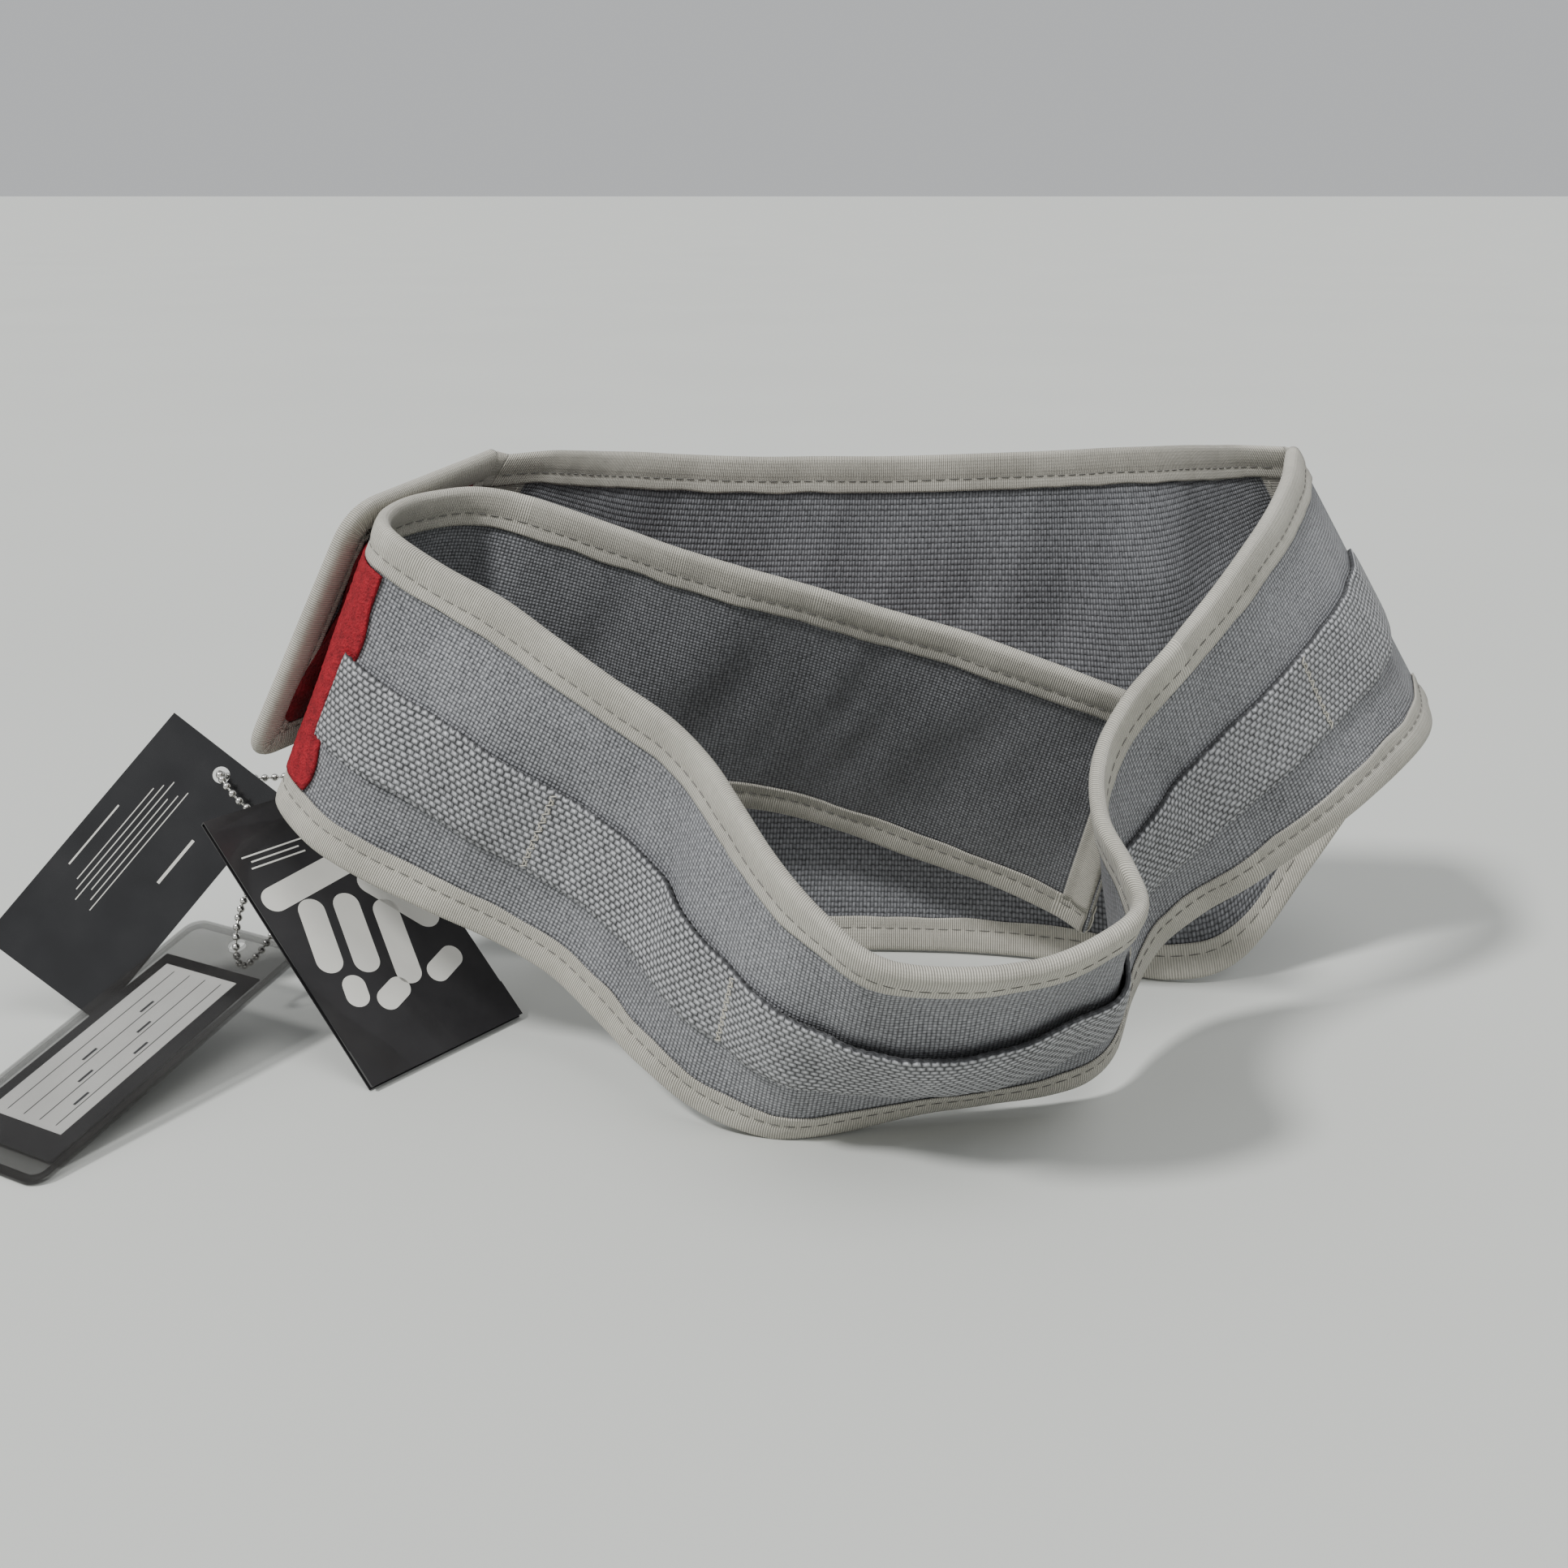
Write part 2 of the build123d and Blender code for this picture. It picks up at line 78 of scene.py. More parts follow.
STRAP = (
    ((148.4, 81.4, 158.6), (194.5, 73.5, 81.8)),
    ((138, 52, 152), (186, 48, 79)),
    ((120, 17, 142), (163, 28, 67)),
    ((98, -8, 124), (134, 18, 49)),
    ((85, -19, 113), (117, 14, 40)),
    ((76, -33, 102), (103, 8, 31)),
    ((74, -49, 93), (93, -4, 21)),
    ((78, -63, 86), (87, -17, 12)),
    ((80, -72, 80), (80, -23, 8)),
    ((73, -79, 76), (70, -26, 6)),
    ((57, -85, 71), (52, -29, 5)),
    ((39, -87, 70), (34, -32, 3.5)),
    ((21, -86, 72), (15, -36, 0.6)),
    ((8, -76, 79), (-3, -38, -0.3)),
    ((-2, -61, 86), (-21, -34, 4.5)),
    ((-10, -46, 93), (-37, -25, 13)),
    ((-18, -31, 100), (-50, -14, 21)),
    ((-29, -18, 107), (-63, -4, 29)),
    ((-44, -10, 115), (-79, 1, 37)),
    ((-58, -2, 123), (-96, 2, 45)),
    ((-72, 6, 131), (-113, 4, 53)),
    ((-88, 13, 138), (-128, 10, 60)),
    ((-101, 19, 145), (-138, 19, 66)),
    ((-106, 28, 148), (-141, 28, 68)),
    ((-104, 40, 150), (-137, 40, 68)),
    ((-97, 50, 151), (-129, 50, 67)),
    ((-85, 57, 151), (-115, 57, 65)),
    ((-70, 57, 148), (-99, 60, 62)),
    ((-47, 52, 141), (-70, 64, 58)),
    ((-26, 45, 135), (-45, 67, 54)),
    ((8, 36, 127), (-8, 70, 50)),
    ((30, 32, 121), (15, 70, 44)),
    ((52, 25, 116), (36, 66, 37)),
    ((73, 17, 110), (60, 59, 31)),
    ((90, 9, 105), (81, 50, 24)),
    ((97.4, 5.3, 102.2), (89.4, 43.5, 20.3)),
    ((98, 5, 102), (90, 43, 20)),
)
BACK = (
    ((-81.8, 80, 156.7), (-128.8, 63, 78.7)),
    ((-69, 84, 157.3), (-121, 63.5, 68)),
    ((-62, 86, 157), (-111, 64, 52)),
    ((-53, 88, 156.5), (-94, 65, 29)),
    ((-43, 90, 156), (-76, 67, 6)),
    ((-30, 92, 155), (-56, 69, 0.6)),
    ((-8, 94, 154), (-26, 72, 0.6)),
    ((12, 95, 154), (2, 73, 0.6)),
    ((32, 95, 154), (30, 73, 0.6)),
    ((60, 94, 155), (60, 71, 0.6)),
    ((82, 93, 156), (90, 64, 0.6)),
    ((98, 92, 157), (118, 51, 0.6)),
    ((110, 91, 157.5), (140, 52, 7)),
    ((120, 90, 158), (160, 59, 33)),
    ((128, 88, 158.3), (177, 67, 56)),
    ((135, 87, 158.5), (187.4, 72, 71.5)),
    ((148, 84, 158.4), (194, 76, 81.4)),
)


def at(x: float, y: float, z: float) -> Vector:
    """Row-frame point in millimetres of a point written from the shelf."""
    return Vector((x, y, z)) - CENTRE


# ---- shader maths ---------------------------------------------------------------------------
class Value:
    """A shader number that takes Python's operators, each one a Math node."""

    def __init__(self, shader: "Shader", socket: Any) -> None:
        self.shader = shader
        self.socket = socket

    def _math(self, operation: str, *values: Any) -> "Value":
        return self.shader.node("ShaderNodeMath", {"operation": operation}, list(values))

    def __add__(self, other: Any) -> "Value":
        return self._math("ADD", self, other)

    def __sub__(self, other: Any) -> "Value":
        return self._math("SUBTRACT", self, other)

    def __rsub__(self, other: Any) -> "Value":
        return self._math("SUBTRACT", other, self)

    def __mul__(self, other: Any) -> "Value":
        return self._math("MULTIPLY", self, other)

    def __gt__(self, other: Any) -> "Value":
        return self._math("GREATER_THAN", self, other)

    __radd__ = __add__
    __rmul__ = __mul__

    def sin(self) -> "Value":
        """Sine of the value, in radians."""
        return self._math("SINE", self)

    def abs(self) -> "Value":
        """The value without its sign."""
        return self._math("ABSOLUTE", self)

    def fract(self) -> "Value":
        """The part after the decimal point."""
        return self._math("FRACT", self)

    def floor(self) -> "Value":
        """The whole number below."""
        return self._math("FLOOR", self)

    def power(self, exponent: float) -> "Value":
        """The value raised to an exponent."""
        return self._math("POWER", self, exponent)


class Shader:
    """One material's node tree, filled through a single node method."""

    def __init__(self, name: str) -> None:
        self.material = bpy.data.materials.new(name)
        self.material.use_nodes = True
        self.tree = self.material.node_tree
        self.bsdf = self.tree.nodes["Principled BSDF"]

    def node(self, kind: str, settings: dict[str, Any], values: Any, out: int | str = 0) -> Value:
        """Adds a node.

        Args:
            kind: the node's type.
            settings: attributes that are set first.
            values: socket values or links, in order or by name.
            out: which output comes back.

        Returns:
            The chosen output.
        """
        made = self.tree.nodes.new(kind)
        for key, value in settings.items():
            setattr(made, key, value)
        pairs = values.items() if isinstance(values, dict) else enumerate(values)
        for key, value in pairs:
            self.feed(made.inputs[key], value)
        return Value(self, made.outputs[out])

    def feed(self, socket: Any, value: Any) -> None:
        """Links a value to a socket, or sets the socket's own number or colour."""
        if isinstance(value, Value):
            self.tree.links.new(value.socket, socket)
        else:
            socket.default_value = value

    def uv(self) -> tuple[Value, Value]:
        """The cloth's own map, in millimetres along and across."""
        mapped = self.node("ShaderNodeUVMap", {"uv_map": "cloth"}, [])
        x = self.node("ShaderNodeSeparateXYZ", {}, [mapped], "X")
        y = self.node("ShaderNodeSeparateXYZ", {}, [mapped], "Y")
        return x, y

    def noise(self, scale: float, detail: float = 3.0) -> Value:
        """Noise on object coordinates, about 0 to 1."""
        place = self.node("ShaderNodeTexCoord", {}, [], "Object")
        return self.node("ShaderNodeTexNoise", {}, {"Vector": place, "Scale": scale, "Detail": detail})

    def mix(self, share: Any, low: Sequence[float], high: Sequence[float]) -> Value:
        """Colour between two colours."""
        ramp = {"Factor": share, 6: (*low, 1.0), 7: (*high, 1.0)}
        return self.node("ShaderNodeMix", {"data_type": "RGBA", "clamp_factor": True}, ramp, 2)

    def bump(self, height: Value, depth: float, strength: float = 1.0) -> Value:
        """Normal from a height."""
        inputs = {"Height": height, "Distance": depth, "Strength": strength}
        return self.node("ShaderNodeBump", {}, inputs, "Normal")

    def set(self, **values: Any) -> None:
        """Sets the surface's sockets, with underscores for spaces."""
        for key, value in values.items():
            self.feed(self.bsdf.inputs[key.replace("_", " ")], value)


@dataclass(frozen=True)
class BasketCloth:
    """Plain or basket woven nylon: yarns cross over and under at a fixed pitch."""

    name: str
    dark: tuple[float, float, float]
    light: tuple[float, float, float]
    pitch: float = 1.0
    depth: float = 0.00022
    rough: float = 0.5

    def build(self) -> bpy.types.Material:
        """Makes the material."""
        shader = Shader(self.name)
        x, y = shader.uv()
        turn = math.pi / self.pitch
        warp = (x * turn).sin().abs()
        weft = (y * turn).sin().abs()
        cell = (((x * (1 / self.pitch)).floor() + (y * (1 / self.pitch)).floor()) * 0.5).fract()
        over = cell > 0.25
        raised = over * warp.power(0.7) * (0.45 + 0.55 * weft)
        sunk = (1 - over) * weft.power(0.7) * (0.3 + 0.5 * warp)
        height = raised + sunk
        grey = shader.noise(26.0)
        # Painted glints: fine bright specks in the colour that stand in for light glinting on the yarns.
        painted_glint = shader.noise(900.0, 1.0)
        # Colour follows the weave's height: yarn tops are lighter and the gaps between yarns are painted
        # dark as shade. Grey adds random tone.
        share = height * 0.9 - 0.06 + (grey - 0.5) * 0.45 + (painted_glint - 0.5) * 0.7
        shader.set(Base_Color=shader.mix(share, self.dark, self.light),
                   Roughness=self.rough + 0.25 * (1 - height),
                   Normal=shader.bump(height, self.depth),
                   Sheen_Weight=0.15, Sheen_Roughness=0.5, Specular_IOR_Level=0.55)
        return shader.material


@dataclass(frozen=True)
class Webbing:
    """Heavy nylon webbing: plump yarn bumps in staggered rows, painted dark between the bumps as shade, with
    painted glints on their tops.
    """

    name: str = "grey_webbing_finish"
    dark: tuple[float, float, float] = (0.03, 0.031, 0.034)
    light: tuple[float, float, float] = (0.56, 0.566, 0.585)
    along: float = 2.2
    across: float = 1.6
    depth: float = 0.0008

    def build(self) -> bpy.types.Material:
        """Makes the material."""
        shader = Shader(self.name)
        x, y = shader.uv()
        line = (y * (1 / self.across)).floor()
        shift = (line * 0.5).fract() * self.along
        lean = (y * (math.pi / self.across)).sin().abs()
        length = ((x + shift) * (math.pi / self.along)).sin().abs()
        pebble = length.power(0.6) * lean.power(0.6)
        strand = ((x * 9.0 + y * 3.0).sin() * 0.5 + 0.5) * 0.14
        height = pebble + strand * pebble
        # Painted glints: bright specks in the colour that stand in for light glinting on the bump tops. They
        # also lower the roughness there.
        painted_glint = shader.noise(700.0, 1.0)
        grey = shader.noise(40.0)
        # Colour follows the bumps: the tops are lighter, with painted shade between them. Grey adds random
        # tone.
        share = pebble.power(1.3) * 0.85 + (grey - 0.5) * 0.25 + (painted_glint - 0.5) * 0.7
        shader.set(Base_Color=shader.mix(share, self.dark, self.light),
                   Roughness=0.62 - 0.3 * pebble * painted_glint,
                   Normal=shader.bump(height, self.depth),
                   Sheen_Weight=0.1, Specular_IOR_Level=0.6)
        return shader.material


@dataclass(frozen=True)
class Grosgrain:
    """Ribbed binding tape: fine ribs across its length."""

    name: str = "cream_binding_finish"
    dark: tuple[float, float, float] = (0.26, 0.245, 0.205)
    light: tuple[float, float, float] = (0.62, 0.595, 0.515)
    pitch: float = 0.62

    def build(self) -> bpy.types.Material:
        """Makes the material."""
        shader = Shader(self.name)
        x, y = shader.uv()
        rib = (x * (math.pi / self.pitch)).sin().abs()
        thread = (y * 7.0).sin() * 0.5 + 0.5
        height = rib * (0.85 + 0.15 * thread)
        soil = shader.noise(45.0)
        fine = shader.noise(600.0, 1.0)
        share = 0.22 + rib * 0.58 + (soil - 0.5) * 0.8 + (fine - 0.5) * 0.3
        shader.set(Base_Color=shader.mix(share, self.dark, self.light),
                   Roughness=0.7 + 0.15 * (1 - rib),
                   Normal=shader.bump(height, 0.00035),
                   Sheen_Weight=0.2, Specular_IOR_Level=0.35)
        return shader.material


@dataclass(frozen=True)
class Pile:
    """Loop or hook tape: a dense field of short fibres."""

    name: str
    dark: tuple[float, float, float]
    light: tuple[float, float, float]
    scale: float
    depth: float
    sheen: float

    def build(self) -> bpy.types.Material:
        """Makes the material."""
        shader = Shader(self.name)
        fibre = shader.noise(self.scale, 2.0)
        tuft = shader.noise(self.scale * 0.22, 3.0)
        share = fibre * 0.9 + (tuft - 0.5) * 1.2
        shader.set(Base_Color=shader.mix(share, self.dark, self.light),
                   Roughness=0.85 - 0.2 * fibre,
                   Normal=shader.bump(fibre + tuft, self.depth),
                   Sheen_Weight=self.sheen, Sheen_Tint=(*self.light, 1.0), Specular_IOR_Level=0.3)
        return shader.material


@dataclass(frozen=True)
class Smooth:
    """A smooth finish with faint wear: board, label, vinyl, thread or metal."""

    name: str
    colour: tuple[float, float, float]
    rough: float
    metallic: float = 0.0
    coat: float = 0.0
    alpha: float = 1.0
    wear: float = 0.12
    scale: float = 60.0
    bump: float = 0.00002

    def build(self) -> bpy.types.Material:
        """Makes the material."""
        shader = Shader(self.name)
        cloud = shader.noise(self.scale)
        scratch = shader.noise(self.scale * 14, 2.0)
        worn = tuple(min(1.0, c * (1 + self.wear) + self.wear * 0.08) for c in self.colour)
        share = (cloud - 0.35) * 2.0
        shader.set(Base_Color=shader.mix(share, self.colour, worn),
                   Roughness=self.rough + (cloud - 0.5) * 0.16,
                   Normal=shader.bump(scratch, self.bump),
                   Metallic=self.metallic, Coat_Weight=self.coat, Alpha=self.alpha)
        return shader.material


class Finish(Enum):
    """Every finish on the set, named by its material slot."""

    # Each woven cloth's dark colour is the painted shade in the gaps between yarns.
    grey_nylon = BasketCloth("grey_nylon_finish", (0.026, 0.027, 0.031), (0.4, 0.406, 0.426), 1.12,
                             0.00036)
    # The lining is the same grey nylon. This darker copy paints shade onto the band's inner faces.
    dark_lining = BasketCloth("dark_lining_finish", (0.022, 0.023, 0.026), (0.27, 0.275, 0.29), 1.0,
                              0.0003, 0.55)
    grey_webbing = Webbing()
    cream_binding = Grosgrain()
    # Real thread, coloured far darker than the beige thread to paint the shade of the stitch grooves.
    seam_thread = Smooth("seam_thread_finish", (0.12, 0.115, 0.105), 0.7, wear=0.2, scale=400.0)
    seam_tape = Grosgrain("seam_tape_finish", (0.22, 0.21, 0.18), (0.38, 0.365, 0.32))
    beige_thread = Smooth("beige_thread_finish", (0.42, 0.4, 0.34), 0.6, wear=0.2, scale=400.0)
    red_loop = Pile("red_loop_finish", (0.11, 0.002, 0.006), (0.4, 0.009, 0.02), 1500.0, 0.0007, 0.12)
    red_hook = Pile("red_hook_finish", (0.05, 0.002, 0.004), (0.24, 0.008, 0.016), 1100.0, 0.0006, 0.05)
    black_board = Smooth("black_board_finish", (0.012, 0.012, 0.013), 0.22, coat=0.35)
    printed_paper = Smooth("printed_paper_finish", (0.014, 0.013, 0.014), 0.3, coat=0.25)
    print_white = Smooth("print_white_finish", (0.66, 0.65, 0.6), 0.45)
    white_label = Smooth("white_label_finish", (0.86, 0.85, 0.81), 0.6)
    label_ink = Smooth("label_ink_finish", (0.05, 0.05, 0.055), 0.6)
    smoke_vinyl = Smooth("smoke_vinyl_finish", (0.02, 0.018, 0.016), 0.14, coat=0.2, alpha=0.24)
    nickel_steel = Smooth("nickel_steel_finish", (0.62, 0.61, 0.58), 0.22, metallic=1.0)

    @property
    def material(self) -> bpy.types.Material:
        """The finish's material, made once."""
        return bpy.data.materials.get(self.value.name) or self.value.build()


# ---- surfaces and meshes --------------------------------------------------------------------
@dataclass
class Surface:
    """A band's smooth middle surface: places are given by station, row and offset, in mm.

    Attributes:
        stations: pairs of a top edge point and a bottom edge point.
        bow: how far the middle stands out to the rear.
        ruffle: depth of the soft waves that every layer shares.
        seed: where the waves are taken from.
        dents: station, row, reach and depth of each place that is pushed in, in mm.
    """

    stations: Sequence[tuple]
    bow: float = 0.0
    ruffle: float = 1.6
    seed: float = 0.0
    dents: Sequence[tuple] = ()
    cache: dict = field(default_factory=dict)

    def __post_init__(self) -> None:
        self.last = len(self.stations) - 1
        self.tops = [at(*top) for top, _ in self.stations]
        self.bottoms = [at(*bottom) for _, bottom in self.stations]
        self.along = [0.0]
        for i in range(self.last):
            step = ((self.tops[i + 1] - self.tops[i]).length
                    + (self.bottoms[i + 1] - self.bottoms[i]).length) / 2
            self.along.append(self.along[-1] + step)

    @staticmethod
    def smooth(points: Sequence[Vector], s: float) -> Vector:
        """Point at station value s on the smooth curve through the points."""
        i = min(int(s), len(points) - 2)
        t = s - i
        p1, p2 = points[i], points[i + 1]
        p0 = points[i - 1] if i > 0 else p1 * 2 - p2
        p3 = points[i + 2] if i + 2 < len(points) else p2 * 2 - p1
        return (p1 * 2 + (p2 - p0) * t + (p0 * 2 - p1 * 5 + p2 * 4 - p3) * t ** 2
                + (p1 * 3 - p0 - p2 * 3 + p3) * t ** 3) * 0.5

    def section(self, s: float) -> tuple[Vector, Vector, Vector, float]:
        """Top point, downward direction, outward direction and width at s."""
        key = round(s, 5)
        if key not in self.cache:
            top, bottom = self.smooth(self.tops, s), self.smooth(self.bottoms, s)
            a, b = max(s - 0.2, 0.0), min(s + 0.2, self.last)
            ahead = (self.smooth(self.tops, b) + self.smooth(self.bottoms, b)
                     - self.smooth(self.tops, a) - self.smooth(self.bottoms, a))
            down = (bottom - top).normalized()
            self.cache[key] = (top, down, ahead.cross(down).normalized(), (bottom - top).length)
        return self.cache[key]

    def length_to(self, s: float) -> float:
        """Length along the band from its start to s, in mm."""
        i = min(int(s), self.last - 1)
        return self.along[i] + (self.along[i + 1] - self.along[i]) * (s - i)

    def station_at(self, length: float) -> float:
        """Station value at a length along the band, in mm."""
        for i in range(self.last):
            if length <= self.along[i + 1]:
                return i + (length - self.along[i]) / (self.along[i + 1] - self.along[i])
        return float(self.last)

    def width(self, s: float) -> float:
        """Width of the band at s, in mm."""
        return self.section(s)[3]

    def cut_area(self, end: float, inset: float) -> float:
        """Area in square metres up to station end, from the stations alone: no bow, ruffle or dent."""
        steps = 400
        edges = []
        for k in range(steps + 1):
            top, down, _, width = self.section(end * k / steps)
            edges.append((top + down * inset, top + down * (width - inset)))
        area = 0.0
        for (a, b), (c, d) in zip(edges, edges[1:]):
            area += ((b - a).cross(c - a).length + (d - b).cross(c - b).length) / 2
        return area * MM * MM

    def place(self, s: float, row: float, off: float) -> Vector:
        """Point row mm below the top edge and off mm outside the middle, in metres."""
        top, down, out, width = self.section(s)
        share = row / width
        middle = max(0.0, 4 * share * (1 - share))
        here = self.length_to(s)
        spot = Vector((here * 0.036 + row * 0.008, row * 0.013 + self.seed, self.seed))
        fine = 0.28 * noise.noise(spot * 2.7)
        wave = self.ruffle * (noise.noise(spot) + fine) * (0.1 + 0.9 * middle)
        for station, centre, reach, depth in self.dents:
            far = ((here - self.length_to(station)) / reach) ** 2 + ((row - centre) / reach * 1.4) ** 2
            wave -= depth * math.exp(-far)
        fade = min(1.0, s / 0.8, (self.last - s) / 0.8)
        spot = (top + down * row + out * (off + self.bow * middle + wave * fade)) * MM
        spot.z = max(spot.z, 0.0)
        return spot


def finish_mesh(name: str, bm: bmesh.types.BMesh, finish: Finish, body: str) -> bpy.types.Object:
    """Writes a bmesh to an object that rides on a body.

    Args:
        name: the piece's name.
        bm: its mesh, which is freed.
        finish: its finish.
        body: the body that carries it, or nothing for a piece that rides on no body.

    Returns:
        The object.
    """
    mesh = bpy.data.meshes.new(name)
    bm.to_mesh(mesh)
    bm.free()
    piece = bpy.data.objects.new(name, mesh)
    bpy.context.scene.collection.objects.link(piece)
    mesh.materials.append(finish.material)
    mesh.shade_smooth()
    if body:
        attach(piece, body)
    LOG.info("%s: %d faces", name, len(mesh.polygons))
    return piece


def print_on(name: str, bm: bmesh.types.BMesh, finish: Finish, body: str) -> None:
    """Lays printed shapes on a tag as a film of ink."""
    piece = finish_mesh(name, bm, finish, body)
    piece.data.shade_flat()
    thicken(piece, 0.03)


def thicken(piece: bpy.types.Object, thickness: float, offset: float = -1.0) -> None:
    """Gives a sheet its thickness, in mm."""
    solid = piece.modifiers.new("thickness", "SOLIDIFY")
    solid.thickness = thickness * MM
    solid.offset = offset


@dataclass(frozen=True)
class Patch:
    """A sheet made from a grid whose sides become two running values.

    Attributes:
        columns, rows: how many steps each way.
        size: length and width for the weave's map, in mm.
        place: gives the point for values from 0 to 1, along and across.
    """

    columns: int
    rows: int
    size: tuple[float, float]
    place: Callable[[float, float], Vector]

    def mesh(self) -> bmesh.types.BMesh:
        """Makes the grid and moves its vertices onto the surface."""
        bm = bmesh.new()
        bmesh.ops.create_grid(bm, x_segments=self.columns, y_segments=self.rows, size=0.5)
        layer = bm.loops.layers.uv.new("cloth")
        for face in bm.faces:
            for loop in face.loops:
                u, w = loop.vert.co.x + 0.5, loop.vert.co.y + 0.5
                loop[layer].uv = (u * self.size[0], w * self.size[1])
        for vert in bm.verts:
            vert.co = self.place(min(max(vert.co.x + 0.5, 0.0), 1.0), min(max(vert.co.y + 0.5, 0.0), 1.0))
        return bm


def cover(name: str, patch: Patch, finish: Finish, body: str, thickness: float,
          nodes: Sequence[str] = ()) -> bpy.types.Object:
    """Builds a thick sheet from a patch and hides the CAD nodes that it stands for."""
    piece = finish_mesh(name, patch.mesh(), finish, body)
    thicken(piece, thickness)
    if nodes:
        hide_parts(*nodes)
    return piece


def declare_cloth(piece: bpy.types.Object, width: float, length: float, area: float, rests_on: str,
                  with_pieces: Sequence[bpy.types.Object] = ()) -> None:
    """Takes a cloth sheet's cut size and area, in metres, rather than its mesh, and does nothing with them.
    """
    list(with_pieces)


def fold_profile(width: float = BINDING_WIDTH) -> list[tuple[float, float]]:
    """A binding's section: up the inner leg, round the fold and down the outer leg, as (row, off)."""
    def leg(row: float) -> float:
        """How far a leg stands off: puffed beside the fold, pinched by the thread, free at its edge."""
        puff = 0.42 * math.sin(math.pi * min(row / STITCH_ROW, 1.0))
        pinch = 0.22 * math.exp(-((row - STITCH_ROW) / 0.7) ** 2)
        return BIND_OUT + puff - pinch

    rows = [1.3 + (width - 1.3) * k / 12 for k in range(13)]
    fold = [(1.3 - 1.3 * math.sin(math.pi * k / 8), -BIND_OUT * math.cos(math.pi * k / 8))
            for k in range(1, 8)]
    return [(r, -leg(r)) for r in reversed(rows)] + fold + [(r, leg(r)) for r in rows]


def on_profile(profile: Sequence[tuple[float, float]], w: float) -> tuple[float, float]:
    """Row and offset at a share of the way along a binding's section."""
    steps = len(profile) - 1
    k = min(int(w * steps + 1e-6), steps - 1)
    t = w * steps - k
    (r0, o0), (r1, o1) = profile[k], profile[k + 1]
    return r0 + (r1 - r0) * t, o0 + (o1 - o0) * t


@dataclass
class Stitching:
    """A run of thread dashes laid on a band."""

    radius: float = 0.17
    dash: float = 3.3
    pitch: float = 4.1

    def add(self, bm: bmesh.types.BMesh, start: Vector, end: Vector, out: Vector) -> None:
        """Adds one dash between two points in metres."""
        run = end - start
        side = run.normalized().cross(out).normalized()
        turn = Matrix((run.normalized(), side, run.normalized().cross(side))).transposed().to_4x4()
        scale = Matrix.Diagonal((run.length / 2, self.radius * MM, self.radius * MM, 1.0))
        bmesh.ops.create_uvsphere(bm, u_segments=6, v_segments=4, radius=1.0,
                                  matrix=Matrix.Translation((start + end) / 2) @ turn @ scale)

    def run(self, bm: bmesh.types.BMesh, surface: Surface, start: float, end: float,
            row: Callable[[float], float], off: float) -> None:
        """Adds dashes along the band from one length to another, in mm."""
        count = int((end - start) / self.pitch)
        for k in range(count):
            here = start + self.pitch * (k + 0.5)
            wander = noise.noise(Vector((here * 0.15, off, row(0)))) * 0.2
            a, b = surface.station_at(here - self.dash / 2), surface.station_at(here + self.dash / 2)
            first = surface.place(a, row(a) + wander, off)
            second = surface.place(b, row(b) + wander, off)
            out = surface.section(a)[2] * (1 if off > 0 else -1)
            self.add(bm, first, second, out)


